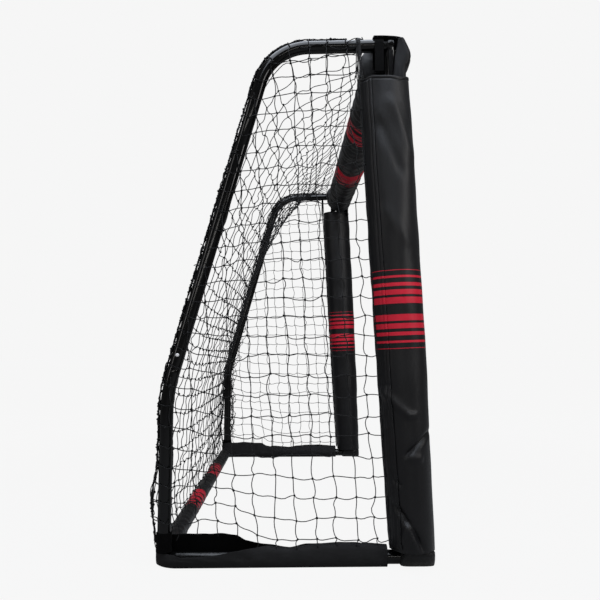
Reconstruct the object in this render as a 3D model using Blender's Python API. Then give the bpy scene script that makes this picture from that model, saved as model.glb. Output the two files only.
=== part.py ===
"""A small soccer goal: a push-together steel tube frame, loose fabric sleeves and a square-mesh net.

Metres. X runs across the goal, the mouth faces -Y and Z is up. The origin is on
the ground, in the middle of the footprint. Left is the -X side.
"""

import math

import bmesh
import bpy
from mathutils import Matrix, Vector

# Frame, centre line to centre line
SPAN = 1.174
CORNER_HEIGHT = 1.0505
BASE_DEPTH = 0.480
POST_LEAN = math.radians(1.45)
TOP_FALL = math.radians(1.95)
STAY_SLANT = math.radians(15.7)
STAY_INSET = 0.003
KNEE_HEIGHT = 0.329
ELBOW_BEND = 0.075
ELBOW_STEPS = 6
KNEE_BEND = 0.30
KNEE_STEPS = 4
REAR_BEND = 0.030
REAR_STEPS = 6

# Tube stock, and the play between pieces that touch
TUBE_R = 0.013
TUBE_WALL = 0.0012
GAP = 0.0003
TUBE_SIDES = 16

# Push-fit joints: a reduced end slides into the next tube
SWAGE_LENGTH = 0.048
SHOULDER = 0.002
SOCKET_HEIGHT = 0.045
REAR_TAIL = 0.100
ELBOW_DROP = 0.218
POST_SPLIT = 0.52
HUB_R = 0.0145
SPIGOT = 0.030
FRONT_STUB = 0.014

# Corner bolt
BOLT_HEAD_R = 0.004
BOLT_HEAD_HEIGHT = 0.0022
BOLT_SHANK_R = 0.0025
BOLT_SHANK = 0.007

# Snap button and its leaf spring
BUTTON_R = 0.0036
BUTTON_PROUD = 0.0025
BUTTON_DOME = 0.0012
BUTTON_HOLE_R = 0.0040
BUTTON_FROM_SEAM = 0.028
SEAM_FROM_KNEE = 0.050
FLANGE_R = 0.0050
FLANGE_THICK = 0.0010
LEAF_THICK = 0.0006
LEAF_WIDTH = 0.006
LEAF_BELOW = 0.007
LEAF_ABOVE = 0.026

# Fabric
FABRIC = 0.002
SLEEVE_GIRTH_R = 0.0455
SLEEVE_DEPTHS = (0.088, 0.100, 0.103)
SLEEVE_SHIFTS = (-0.003, 0.0035, 0.014)
SLEEVE_DROP = 0.0720
SLEEVE_SIDES = 24
SLEEVE_RINGS = 8
SLEEVE_PULL = 0.006
CLOSURE_THICK = 0.0015
CLOSURE_GAP = 0.0008
CLOSURE_FACETS = 4
HOOD_INNER_REACH = 0.042
HOOD_OUTER_REACH = 0.020
HOOD_FRONT = 0.0395
HOOD_REAR = 0.037
HOOD_CHEEK = 0.0075
HOOD_SHOULDER = 0.016
HOOD_BROW = 0.027
HOOD_BROW_DROP = 0.005
HOOD_BROW_MITRE = 0.4
HOOD_FACE_LEAN = 0.003
HOOD_CHIN = 0.041
TAB_WIDTH = 0.0175
TAB_THICK = 0.0015
TAB_OUTER_DROP = 0.054
TAB_INNER_DROP = 0.045
BOOT_FRONT = 0.047
BOOT_REAR = 0.018
BOOT_HALF_WIDTH = 0.045
BOOT_HEIGHT = 0.030
BOOT_ROUND = 0.018
HEM_R = 0.0185
HEM_FLAT = 0.0005
HEM_SIDES = 20
HEM_FIN_TOP = 0.062
HEM_FIN_THICK = 0.003
REAR_SLEEVE_INSET = 0.045
CUFF_R = 0.0150

# Net
STRAND = 0.004
NET_THICK = 0.003
NET_CLEAR = 0.001
SIDE_CELLS = (4, 10)
RAMP_COLUMN = 3
TOP_CELLS = (12, 2)
BACK_CELLS = (12, 6)
LOWER_CELLS = (12, 3)
TOP_SAG = 0.055
BACK_SAG = 0.013
LOWER_SAG = 0.026
NET_FRONT_FROM_TAB = 0.037
TIE_R = 0.0025
TIE_FROM_TAB = 0.050
TIE_TAIL = 0.055
TIE_LEAN = 0.002
TIE_WRAP = math.radians(145)

# Worked out from the sizes above
HALF = SPAN / 2
BORE = TUBE_R - TUBE_WALL
SWAGE_R = BORE - GAP
SWAGE_BORE = SWAGE_R - TUBE_WALL
BASE_Z = FABRIC + GAP + TUBE_R
BASE_TOP = BASE_Z + TUBE_R
DEPTH = BOOT_FRONT + BASE_DEPTH + HEM_R
POST_FOOT_Y = BOOT_FRONT - DEPTH / 2
REAR_Y = POST_FOOT_Y + BASE_DEPTH
STAY_Y = REAR_Y - STAY_INSET
CORNER_Y = POST_FOOT_Y + (CORNER_HEIGHT - BASE_Z) * math.tan(POST_LEAN)
SLEEVE_FOOT = BOOT_HEIGHT + GAP
SLEEVE_TOP = CORNER_HEIGHT - SLEEVE_DROP
TAB_FRONT_Y = CORNER_Y + HUB_R + GAP
TAB_REAR_Y = TAB_FRONT_Y + TAB_WIDTH
NET_FRONT_Y = TAB_REAR_Y + NET_FRONT_FROM_TAB
BAR_SLEEVE_Y = CORNER_Y + SLEEVE_PULL
BAR_SLEEVE_FLAT = (SLEEVE_GIRTH_R - FABRIC) * math.cos(math.pi / SLEEVE_SIDES)
BAR_SLEEVE_Z = CORNER_HEIGHT - math.sqrt((BAR_SLEEVE_FLAT - TUBE_R - GAP) ** 2 - SLEEVE_PULL**2)

# Directions of the side frame's tubes
POST_UP = Vector((0, math.sin(POST_LEAN), math.cos(POST_LEAN)))
TOP_BACK = Vector((0, math.cos(TOP_FALL), -math.sin(TOP_FALL)))
STAY_UP = Vector((0, -math.sin(STAY_SLANT), math.cos(STAY_SLANT)))
UP = Vector((0, 0, 1))
BACK = Vector((0, 1, 0))

BLACK_PAINT = ((0.012, 0.012, 0.014, 1), 0.22, 0.0)
BARE_STEEL = ((0.55, 0.56, 0.58, 1), 0.30, 1.0)
BLACK_CLOTH = ((0.020, 0.020, 0.024, 1), 0.62, 0.0)
HEM_CLOTH = ((0.010, 0.010, 0.012, 1), 0.80, 0.0)
NET_CORD = ((0.006, 0.006, 0.007, 1), 0.85, 0.0)

SIDES = (("left", -1), ("right", 1))


def clear_scene():
    """Remove whatever the open file holds."""
    for obj in list(bpy.data.objects):
        bpy.data.objects.remove(obj, do_unlink=True)


def surface_finish(name, look):
    """Principled material of one piece."""
    colour, roughness, metallic = look
    material = bpy.data.materials.new(name + "_finish")
    material.use_nodes = True
    shader = material.node_tree.nodes["Principled BSDF"]
    shader.inputs["Base Color"].default_value = colour
    shader.inputs["Roughness"].default_value = roughness
    shader.inputs["Metallic"].default_value = metallic
    return material


def finish(name, mesh, look, smooth=True):
    """Link a mesh as an object with its own material."""
    mesh.materials.append(surface_finish(name, look))
    if smooth:
        mesh.shade_smooth()
        mesh.set_sharp_from_angle(angle=math.radians(35))
    obj = bpy.data.objects.new(name, mesh)
    bpy.context.scene.collection.objects.link(obj)
    return obj


def close_mesh(name, bm):
    """Point every face outwards and turn the bmesh into a mesh."""
    bmesh.ops.recalc_face_normals(bm, faces=bm.faces)
    mesh = bpy.data.meshes.new(name)
    bm.to_mesh(mesh)
    bm.free()
    return mesh


def cut(obj, cutter):
    """Boolean difference, with the cutter kept as a hidden guide."""
    hide_guide(cutter)
    modifier = obj.modifiers.new("cut", "BOOLEAN")
    modifier.operation = "DIFFERENCE"
    modifier.solver = "EXACT"
    modifier.object = cutter


def join(obj, other):
    """Boolean union, with the joined shape kept as a hidden guide."""
    hide_guide(other)
    modifier = obj.modifiers.new("join", "BOOLEAN")
    modifier.operation = "UNION"
    modifier.solver = "EXACT"
    modifier.object = other


def hide_guide(obj):
    obj.hide_render = True
    obj.display_type = "WIRE"


def bridge_rings(bm, rings, closed=False):
    """Join each ring of vertices to the next with quads."""
    pairs = list(zip(rings, rings[1:]))
    if closed:
        pairs.append((rings[-1], rings[0]))
    for low, high in pairs:
        for k in range(len(low)):
            n = (k + 1) % len(low)
            bm.faces.new((low[k], low[n], high[n], high[k]))


def shell(name, outer, inner, look):
    """Closed wall between an outer and an inner stack of rings, open at both ends."""
    bm = bmesh.new()
    rings = [[bm.verts.new(p) for p in ring] for ring in outer + inner[::-1]]
    bridge_rings(bm, rings, closed=True)
    return finish(name, close_mesh(name, bm), look)


def plug(name, rings, look):
    """Solid stack of rings with flat ends."""
    bm = bmesh.new()
    made = [[bm.verts.new(p) for p in ring] for ring in rings]
    bridge_rings(bm, made)
    bm.faces.new(made[0])
    bm.faces.new(made[-1])
    return finish(name, close_mesh(name, bm), look)


def prism(name, outline, shift, look):
    """Flat outline pushed along a vector into a solid."""
    low = [Vector(p) for p in outline]
    high = [p + shift for p in low]
    obj = plug(name, [low, high], look)
    for polygon in obj.data.polygons:
        polygon.use_smooth = False
    return obj


def path_frames(points):
    """A tangent, and two directions across it, at each point of a path."""
    steps = [(b - a).normalized() for a, b in zip(points, points[1:])]
    tangents = [steps[0]]
    tangents += [(a + b).normalized() for a, b in zip(steps, steps[1:])]
    tangents.append(steps[-1])
    runs_across = abs(tangents[0].x) > 0.9
    side = BACK if runs_across else Vector((1, 0, 0))
    frames = []
    for tangent in tangents:
        side = (side - tangent * side.dot(tangent)).normalized()
        frames.append((side, tangent.cross(side)))
    return frames


def circle(centre, across, radius, sides):
    """Ring of points around a centre, in the plane of two directions."""
    ring = []
    for k in range(sides):
        angle = 2 * math.pi * (k + 0.5) / sides
        spoke = across[0] * math.cos(angle) + across[1] * math.sin(angle)
        ring.append(centre + spoke * radius)
    return ring


def tube(name, stations, look=BLACK_PAINT, sides=TUBE_SIDES):
    """Pipe along stations of (point, outer radius, bore radius)."""
    frames = path_frames([point for point, _, _ in stations])
    outer = [circle(p, f, r, sides) for (p, r, _), f in zip(stations, frames)]
    inner = [circle(p, f, b, sides) for (p, _, b), f in zip(stations, frames)]
    return shell(name, outer, inner, look)


def rod(name, start, end, radius, look, sides=TUBE_SIDES):
    """Solid round bar between two points."""
    frames = path_frames([start, end])
    rings = [circle(p, f, radius, sides) for p, f in zip((start, end), frames)]
    return plug(name, rings, look)


def plain(points):
    """Stations of full-size tube."""
    return [(p, TUBE_R, BORE) for p in points]


def reduced_end(seam, direction, length=SWAGE_LENGTH):
    """Stations of a reduced end that passes a seam and slides into the next tube."""
    shoulder = seam - direction * (GAP + SHOULDER)
    neck = seam - direction * GAP
    tip = seam + direction * length
    return [(shoulder, TUBE_R, BORE), (neck, SWAGE_R, SWAGE_BORE), (tip, SWAGE_R, SWAGE_BORE)]


def bend(before, corner, after, radius, steps):
    """Points of a round bend where two straight runs meet."""
    arriving = (corner - before).normalized()
    leaving = (after - corner).normalized()
    turn = arriving.angle(leaving)
    axis = arriving.cross(leaving).normalized()
    start = corner - arriving * (radius * math.tan(turn / 2))
    inward = axis.cross(arriving)
    centre = start + inward * radius
    turns = [Matrix.Rotation(turn * k / steps, 3, axis) for k in range(steps + 1)]
    return [centre - rotation @ (inward * radius) for rotation in turns]


def post_y(z):
    """Depth of the post's centre line at a height."""
    return POST_FOOT_Y + (z - BASE_Z) * math.tan(POST_LEAN)


def knee_point(x):
    return Vector((x, STAY_Y, KNEE_HEIGHT))


def elbow_corner(x):
    """Where the straight runs of the top tube and the stay would meet."""
    corner = Vector((x, CORNER_Y, CORNER_HEIGHT))
    knee = knee_point(x)
    across = knee - corner
    turn = TOP_BACK.y * STAY_UP.z - TOP_BACK.z * STAY_UP.y
    reach = (across.y * STAY_UP.z - across.z * STAY_UP.y) / turn
    return corner + TOP_BACK * reach


def elbow_points(x):
    """Centre line of the top bend, front to rear."""
    corner = elbow_corner(x)
    return bend(corner - TOP_BACK, corner, corner - STAY_UP, ELBOW_BEND, ELBOW_STEPS)


def knee_points(x):
    """Centre line of the lower bend, from the top down."""
    knee = knee_point(x)
    return bend(knee + STAY_UP, knee, knee - UP, KNEE_BEND, KNEE_STEPS)


def button_point(x):
    return knee_point(x) + STAY_UP * (SEAM_FROM_KNEE + BUTTON_FROM_SEAM)


def build_posts(side, x):
    """Two push-fit halves on a short socket that is welded to the base tube."""
    foot = Vector((x, POST_FOOT_Y, BASE_Z)) + POST_UP * (TUBE_R * (1 + math.sin(POST_LEAN)) + GAP)
    hub = Vector((x, CORNER_Y, CORNER_HEIGHT))
    split = Vector((x, post_y(POST_SPLIT), POST_SPLIT))
    socket_top = foot + POST_UP * SOCKET_HEIGHT
    tube("post_socket_" + side, [(foot, SWAGE_R, SWAGE_BORE), (socket_top, SWAGE_R, SWAGE_BORE)])
    tube("post_tube_lower_" + side, plain([foot]) + reduced_end(split, POST_UP))
    top = hub - POST_UP * (HUB_R + GAP)
    tube("post_tube_upper_" + side, plain([split, top]))


def build_corner(side, x, sign):
    """Three-way joint with a spigot for each tube, and the bolt in its outer side."""
    name = "corner_joint_" + side
    centre = Vector((x, CORNER_Y, CORNER_HEIGHT))
    bm = bmesh.new()
    bmesh.ops.create_uvsphere(bm, u_segments=TUBE_SIDES, v_segments=8, radius=HUB_R)
    bmesh.ops.translate(bm, verts=bm.verts, vec=centre)
    joint = finish(name, close_mesh(name, bm), BLACK_PAINT)
    directions = {"bar": Vector((-sign, 0, 0)), "post": -POST_UP, "top": TOP_BACK}
    for label, direction in directions.items():
        tip = centre + direction * (HUB_R + SPIGOT)
        join(joint, rod(name + "_" + label, centre, tip, SWAGE_R, BLACK_PAINT))
    outward = Vector((sign, 0, 0))
    seat = centre + outward * (HUB_R + GAP)
    hole_end = seat - outward * (BOLT_SHANK + GAP)
    hole_start = seat + outward * HUB_R
    cut(joint, rod(name + "_hole", hole_end, hole_start, BOLT_SHANK_R + GAP, BLACK_PAINT))
    across = path_frames([seat, seat + outward])[0]
    dome = BOLT_HEAD_HEIGHT
    profile = [(-BOLT_SHANK, BOLT_SHANK_R), (0, BOLT_SHANK_R), (0, BOLT_HEAD_R)]
    profile += [(0.5 * dome, BOLT_HEAD_R), (0.85 * dome, 0.75 * BOLT_HEAD_R)]
    profile.append((dome, 0.35 * BOLT_HEAD_R))
    rings = [circle(seat + outward * rise, across, radius, TUBE_SIDES) for rise, radius in profile]
    plug("corner_bolt_" + side, rings, BARE_STEEL)


def build_top_and_stay(side, x, sign):
    """Top tube with its elbow, the slanted stay, and the lower stay with the knee."""
    corner = Vector((x, CORNER_Y, CORNER_HEIGHT))
    upper_seam = elbow_corner(x) - STAY_UP * ELBOW_DROP
    lower_seam = knee_point(x) + STAY_UP * SEAM_FROM_KNEE
    front = corner + TOP_BACK * (HUB_R + GAP)
    run = plain([front] + elbow_points(x)) + reduced_end(upper_seam, -STAY_UP)
    tube("top_tube_" + side, run)

    stay = tube("stay_tube_" + side, plain([upper_seam, lower_seam]))
    foot = Vector((x, STAY_Y, BASE_TOP + GAP))
    knee = knee_points(x)[::-1]
    lower = tube("lower_stay_tube_" + side, plain([foot] + knee) + reduced_end(lower_seam, STAY_UP))
    hole_start = button_point(x) + Vector((sign * SWAGE_BORE / 2, 0, 0))
    hole_end = button_point(x) + Vector((sign * TUBE_R * 1.5, 0, 0))
    for pipe in (stay, lower):
        cut(pipe, rod(pipe.name + "_hole", hole_start, hole_end, BUTTON_HOLE_R, BLACK_PAINT))
    socket_top = foot + UP * SOCKET_HEIGHT
    tube("stay_socket_" + side, [(foot, SWAGE_R, SWAGE_BORE), (socket_top, SWAGE_R, SWAGE_BORE)])


def reach_in_bore(half_width):
    """Distance from the tube's centre to where a piece of this half width meets the bore."""
    flat = SWAGE_BORE * math.cos(math.pi / TUBE_SIDES)
    return math.sqrt(flat**2 - half_width**2) - GAP


def build_button(side, x, sign):
    """Domed button with a flange behind the tube wall; its empty sits on the slide axis."""
    name = "snap_button_" + side
    outward = Vector((1, 0, 0))
    across = (Vector((0, 1, 0)), Vector((0, 0, 1)))
    seat = reach_in_bore(FLANGE_R)
    tip = TUBE_R + BUTTON_PROUD
    profile = [(seat - FLANGE_THICK, FLANGE_R), (seat, FLANGE_R), (seat, BUTTON_R)]
    profile += [(tip - BUTTON_DOME, BUTTON_R), (tip - BUTTON_DOME / 3, 0.8 * BUTTON_R)]
    profile.append((tip, 0.4 * BUTTON_R))
    rings = [circle(outward * rise, across, radius, 16) for rise, radius in profile]
    axis = bpy.data.objects.new(name + "_axis", None)
    axis.location = button_point(x)
    axis.rotation_euler = (0, 0, 0 if sign > 0 else math.pi)
    bpy.context.scene.collection.objects.link(axis)
    button = plug(name, rings, BARE_STEEL)
    button.parent = axis


def build_spring(side, x, sign):
    """Bent leaf: one leg behind the button, one against the far wall of the tube."""
    near = reach_in_bore(FLANGE_R) - FLANGE_THICK - GAP
    far = -reach_in_bore(LEAF_WIDTH / 2)
    half_turn = (near - LEAF_THICK - far - LEAF_THICK) / 2
    middle = far + LEAF_THICK + half_turn
    steps = 6
    outer = [(near, -LEAF_BELOW), (near, LEAF_ABOVE)]
    inner = [(near - LEAF_THICK, -LEAF_BELOW), (near - LEAF_THICK, LEAF_ABOVE)]
    for k in range(1, steps):
        angle = math.pi * k / steps
        reach = half_turn + LEAF_THICK
        outer.append((middle + reach * math.cos(angle), LEAF_ABOVE + reach * math.sin(angle)))
        inner.append((middle + half_turn * math.cos(angle), LEAF_ABOVE + half_turn * math.sin(angle)))
    outer += [(far, LEAF_ABOVE), (far, -LEAF_BELOW)]
    inner += [(far + LEAF_THICK, LEAF_ABOVE), (far + LEAF_THICK, -LEAF_BELOW)]
    centre = button_point(x)
    across = Vector((1, 0, 0)).cross(STAY_UP)
    bm = bmesh.new()
    edges = []
    for shift in (-LEAF_WIDTH / 2, LEAF_WIDTH / 2):
        for line in (outer, inner):
            points = [centre + Vector((sign * r, 0, 0)) + STAY_UP * t + across * shift for r, t in line]
            edges.append([bm.verts.new(p) for p in points])
    strips = [edges[0], edges[1], edges[3], edges[2]]
    for k in range(4):
        one, two = strips[k], strips[(k + 1) % 4]
        for a in range(len(one) - 1):
            bm.faces.new((one[a], one[a + 1], two[a + 1], two[a]))
    bm.faces.new([strip[0] for strip in strips])
    bm.faces.new([strip[-1] for strip in strips])
    name = "button_spring_" + side
    finish(name, close_mesh(name, bm), BARE_STEEL)


def build_base(side, x, sign):
    """Ground tube of one side, bent inwards at the rear to meet the rear bar."""
    front = Vector((x, POST_FOOT_Y - FRONT_STUB, BASE_Z))
    corner = Vector((x, REAR_Y, BASE_Z))
    inward = Vector((-sign, 0, 0))
    seam = corner + inward * REAR_TAIL
    run = plain([front] + bend(front, corner, seam, REAR_BEND, REAR_STEPS))
    tube("base_tube_" + side, run + reduced_end(seam, inward))


def build_bars():
    """Crossbar and rear bar, each in two halves that meet in the middle."""
    right = Vector((1, 0, 0))
    middle = Vector((0, CORNER_Y, CORNER_HEIGHT))
    reach = HALF - HUB_R - GAP
    tube("crossbar_tube_left", plain([middle - right * reach]) + reduced_end(middle, right))
    tube("crossbar_tube_right", plain([middle, middle + right * reach]))
    middle = Vector((0, REAR_Y, BASE_Z))
    reach = HALF - REAR_TAIL
    tube("rear_bar_tube_left", plain([middle - right * reach]) + reduced_end(middle, right))
    tube("rear_bar_tube_right", plain([middle, middle + right * reach]))


def along_sleeve(z, sizes):
    """Smooth curve along the post sleeve, through a size at its foot, its middle and its top."""
    foot, middle, top = sizes
    t = (z - SLEEVE_FOOT) / (SLEEVE_TOP - SLEEVE_FOOT)
    bulge = middle - (foot + top) / 2
    return foot * (1 - t) + top * t + 4 * bulge * t * (1 - t)


def sleeve_depth(z):
    """Front-to-back size of the loose post sleeve."""
    return along_sleeve(z, SLEEVE_DEPTHS)


def sleeve_y(z):
    """Middle of the sleeve, which hangs further behind the post towards its top."""
    return post_y(z) + along_sleeve(z, SLEEVE_SHIFTS)


def sleeve_half_axes(z):
    """Half depth and half width of the sleeve, whose girth stays the same."""
    depth = sleeve_depth(z) / 2
    width = math.sqrt(2 * SLEEVE_GIRTH_R**2 - depth**2)
    return depth, width


def sleeve_point(x, sign, z, angle, proud):
    """Point on the post sleeve; angle 0 is its rear, a quarter turn its outer side."""
    depth, width = sleeve_half_axes(z)
    y = sleeve_y(z) + (depth + proud) * math.cos(angle)
    return Vector((x + sign * (width + proud) * math.sin(angle), y, z))


def sleeve_heights():
    step = (SLEEVE_TOP - SLEEVE_FOOT) / SLEEVE_RINGS
    return [SLEEVE_FOOT + step * k for k in range(SLEEVE_RINGS + 1)]


def build_post_sleeve(side, x, sign):
    """Loose sleeve around the post, and the closure strip along its outer rear side."""
    turn = [2 * math.pi * k / SLEEVE_SIDES for k in range(SLEEVE_SIDES)]
    outer = [[sleeve_point(x, sign, z, a, 0) for a in turn] for z in sleeve_heights()]
    inner = [[sleeve_point(x, sign, z, a, -FABRIC) for a in turn] for z in sleeve_heights()]
    shell("post_sleeve_" + side, outer, inner, BLACK_CLOTH)
    angles = turn[:CLOSURE_FACETS + 1]
    rings = []
    for z in sleeve_heights():
        ring = [sleeve_point(x, sign, z, a, CLOSURE_GAP + CLOSURE_THICK) for a in angles]
        ring += [sleeve_point(x, sign, z, a, CLOSURE_GAP) for a in angles[::-1]]
        rings.append(ring)
    plug("post_closure_" + side, rings, BLACK_CLOTH)


def ring_across_x(x, y, z, radius, sides):
    """Round ring in the plane across the goal's width."""
    return circle(Vector((x, y, z)), (BACK, UP), radius, sides)


def build_bar_sleeve():
    """Round loose sleeve that rests on the crossbar and hangs below it."""
    reach = HALF - HOOD_INNER_REACH - GAP
    place = (BAR_SLEEVE_Y, BAR_SLEEVE_Z)
    outer = [ring_across_x(x, *place, SLEEVE_GIRTH_R, SLEEVE_SIDES) for x in (-reach, reach)]
    inner = [ring_across_x(x, *place, SLEEVE_GIRTH_R - FABRIC, SLEEVE_SIDES) for x in (-reach, reach)]
    shell("crossbar_sleeve", outer, inner, BLACK_CLOTH)


def hood_outline(proud):
    """Section of the hood's band, from its rear edge over the top and down the front."""
    top = CORNER_HEIGHT + HUB_R + GAP + proud
    front = CORNER_Y - HOOD_FRONT
    foot = SLEEVE_TOP + GAP
    return [
        (CORNER_Y + HOOD_REAR, top),
        (CORNER_Y - HOOD_SHOULDER, top),
        (CORNER_Y - HOOD_BROW - HOOD_BROW_MITRE * proud, top - HOOD_BROW_DROP),
        (front + HOOD_FACE_LEAN - proud, CORNER_HEIGHT),
        (front - proud, CORNER_HEIGHT - HOOD_SHOULDER),
        (front + HOOD_CHEEK - proud, CORNER_HEIGHT - HOOD_CHIN),
        (front + HOOD_CHEEK - proud, foot),
    ]


def build_hood(side, x, sign):
    """Corner hood: a band over the top and front, and a cheek that closes its outer front."""
    inner_end = x - sign * HOOD_INNER_REACH
    outer_end = x + sign * HOOD_OUTER_REACH
    outside = hood_outline(FABRIC)
    inside = hood_outline(0)
    outline = [Vector((inner_end, y, z)) for y, z in outside + inside[::-1]]
    shift = Vector((outer_end - inner_end, 0, 0))
    hood = prism("corner_hood_" + side, outline, shift, BLACK_CLOTH)
    foot = SLEEVE_TOP + GAP
    cheek = [(CORNER_Y - HOOD_SHOULDER, CORNER_HEIGHT + HUB_R + GAP + FABRIC / 2)]
    cheek += [(y + FABRIC / 2, z) for y, z in outside[2:]]
    cheek += [(CORNER_Y - HOOD_CHEEK, foot), (CORNER_Y - HOOD_CHEEK, CORNER_HEIGHT - HOOD_SHOULDER)]
    outline = [Vector((outer_end - sign * FABRIC, y, z)) for y, z in cheek]
    shift = Vector((sign * FABRIC / 2, 0, 0))
    join(hood, prism("corner_hood_cheek_" + side, outline, shift, BLACK_CLOTH))


def build_tab(side, x, sign):
    """Strap tab folded over the top tube, with a long outer leg and a short inner one."""
    inner = TUBE_R + GAP
    outer = inner + TAB_THICK
    fold = [(sign * math.cos(math.pi * k / 8), math.sin(math.pi * k / 8)) for k in range(9)]
    section = [(sign * outer, -TAB_OUTER_DROP)]
    section += [(outer * c, outer * s) for c, s in fold]
    section += [(-sign * outer, -TAB_INNER_DROP), (-sign * inner, -TAB_INNER_DROP)]
    section += [(inner * c, inner * s) for c, s in fold[::-1]]
    section.append((sign * inner, -TAB_OUTER_DROP))
    fall = math.tan(TOP_FALL)
    rings = []
    for y in (TAB_FRONT_Y, TAB_REAR_Y):
        centre_z = CORNER_HEIGHT - (y - CORNER_Y) * fall
        rings.append([Vector((x + dx, y, centre_z + dz)) for dx, dz in section])
    plug("corner_tab_" + side, rings, HEM_CLOTH)


def build_boot(side, x):
    """Fabric boot under the post, open behind for the base tube and above for the post."""
    front = POST_FOOT_Y - BOOT_FRONT
    rear = POST_FOOT_Y + BOOT_REAR
    outline = [
        Vector((x - BOOT_HALF_WIDTH, front, 0)),
        Vector((x + BOOT_HALF_WIDTH, front, 0)),
        Vector((x + BOOT_HALF_WIDTH, rear, 0)),
        Vector((x - BOOT_HALF_WIDTH, rear, 0)),
    ]
    name = "foot_boot_" + side
    bm = bmesh.new()
    low = [bm.verts.new(p) for p in outline]
    high = [bm.verts.new(p + UP * BOOT_HEIGHT) for p in outline]
    bridge_rings(bm, [low, high])
    bm.faces.new(low)
    bm.faces.new(high)
    upright = [e for e in bm.edges if abs(e.verts[0].co.z - e.verts[1].co.z) > BOOT_HEIGHT / 2]
    bmesh.ops.bevel(
        bm, geom=upright, offset=BOOT_ROUND, segments=4, profile=0.5, affect="EDGES"
    )
    boot = finish(name, close_mesh(name, bm), BLACK_CLOTH)
    bore_start = Vector((x, POST_FOOT_Y - FRONT_STUB - GAP, BASE_Z))
    bore_end = Vector((x, rear + TUBE_R, BASE_Z))
    cut(boot, rod(name + "_tube_way", bore_start, bore_end, TUBE_R + GAP, BLACK_CLOTH, 24))
    foot = Vector((x, POST_FOOT_Y, BASE_Z))
    above = foot + UP * (BOOT_HEIGHT + TUBE_R)
    cut(boot, rod(name + "_post_way", foot, above, TUBE_R + 2 * GAP, BLACK_CLOTH, 24))


def hem_ring(centre, across, radius):
    """Round ring whose lowest points are pressed flat on the ground."""
    ring = circle(centre, across, radius, HEM_SIDES)
    return [Vector((p.x, p.y, max(p.z, 0))) for p in ring]


def hem_rings(start, end):
    """Outer and inner rings of a hem wrapped loosely around a ground tube."""
    frames = path_frames([start, end])
    outer = [hem_ring(p + UP * (HEM_R - HEM_FLAT), f, HEM_R) for p, f in zip((start, end), frames)]
    inner = [circle(p + UP * HEM_R, f, HEM_R - FABRIC, HEM_SIDES) for p, f in zip((start, end), frames)]
    return outer, inner


def side_net_front(z):
    """Front edge of the side net, just behind the sleeve and its closure."""
    return sleeve_y(z) + sleeve_depth(z) / 2 + CLOSURE_GAP + CLOSURE_THICK + NET_CLEAR


def hem_ramp():
    """Start and end of the hem's rise, at two of the side net's columns."""
    front = side_net_front(SLEEVE_FOOT)
    spacing = (STAY_Y - CUFF_R - GAP - front) / SIDE_CELLS[0]
    end = front + RAMP_COLUMN * spacing
    return end - spacing, end


def hem_top(y):
    """Height of the hem's upper edge, which rises towards the rear."""
    low = 2 * HEM_R - HEM_FLAT
    start, end = hem_ramp()
    t = (y - start) / (end - start)
    return low + (HEM_FIN_TOP - low) * min(max(t, 0), 1)


def build_hem(side, x):
    """Net hem: wrapped round the base tube in front, standing up above it at the rear."""
    name = "base_hem_" + side
    ramp_start, ramp_end = hem_ramp()
    start = Vector((x, side_net_front(2 * HEM_R), 0))
    end = Vector((x, (ramp_start + ramp_end) / 2, 0))
    outer, inner = hem_rings(start, end)
    hem = shell(name, outer, inner, HEM_CLOTH)
    rear = STAY_Y - CUFF_R - GAP
    foot = BASE_TOP + GAP
    wrap_top = 2 * HEM_R - HEM_FLAT
    left = x - HEM_FIN_THICK / 2
    outline = [(ramp_start, wrap_top - FABRIC / 2), (ramp_start, wrap_top), (ramp_end, HEM_FIN_TOP)]
    outline += [(rear, HEM_FIN_TOP), (rear, foot), (end.y, foot), (end.y, wrap_top - FABRIC / 2)]
    outline = [Vector((left, y, z)) for y, z in outline]
    join(hem, prism(name + "_fin", outline, Vector((HEM_FIN_THICK, 0, 0)), HEM_CLOTH))


def build_cuff(side, x):
    """Fabric cuff around the foot of the stay."""
    foot = Vector((x, STAY_Y, BASE_TOP + GAP))
    top = Vector((x, STAY_Y, HEM_FIN_TOP))
    tube("stay_cuff_" + side, [(foot, CUFF_R, TUBE_R + GAP), (top, CUFF_R, TUBE_R + GAP)], HEM_CLOTH)


def build_rear_sleeve():
    """Snug sleeve on the rear bar."""
    reach = HALF - REAR_SLEEVE_INSET
    outer, inner = hem_rings(Vector((-reach, REAR_Y, 0)), Vector((reach, REAR_Y, 0)))
    shell("rear_sleeve", outer, inner, BLACK_CLOTH)


def net_panel(name, surface, cells, sizes):
    """Square-mesh panel: strands on a grid over a surface(u, v), with a hole in each cell.

    surface gives a point and a normal; sizes are the panel's length along u and v.
    """
    edges = []
    for count, size in zip(cells, sizes):
        half = STRAND / size / 2
        lines = [half + (1 - 2 * half) * k / count for k in range(count + 1)]
        edges.append([value for line in lines for value in (line - half, line + half)])
    bm = bmesh.new()
    front, back = {}, {}
    for i, u in enumerate(edges[0]):
        for j, v in enumerate(edges[1]):
            point, normal = surface(u, v)
            front[i, j] = bm.verts.new(point + normal * (NET_THICK / 2))
            back[i, j] = bm.verts.new(point - normal * (NET_THICK / 2))
    columns, rows = len(edges[0]) - 1, len(edges[1]) - 1

    def solid(i, j):
        inside = 0 <= i < columns and 0 <= j < rows
        return inside and not (i % 2 and j % 2)

    for i in range(columns):
        for j in range(rows):
            if not solid(i, j):
                continue
            corners = [(i, j), (i + 1, j), (i + 1, j + 1), (i, j + 1)]
            bm.faces.new([front[c] for c in corners])
            bm.faces.new([back[c] for c in corners[::-1]])
            neighbours = [(i, j - 1), (i + 1, j), (i, j + 1), (i - 1, j)]
            for k, cell in enumerate(neighbours):
                if not solid(*cell):
                    a, b = corners[k], corners[(k + 1) % 4]
                    bm.faces.new((front[b], front[a], back[a], back[b]))
    finish(name, close_mesh(name, bm), NET_CORD, smooth=False)


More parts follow.
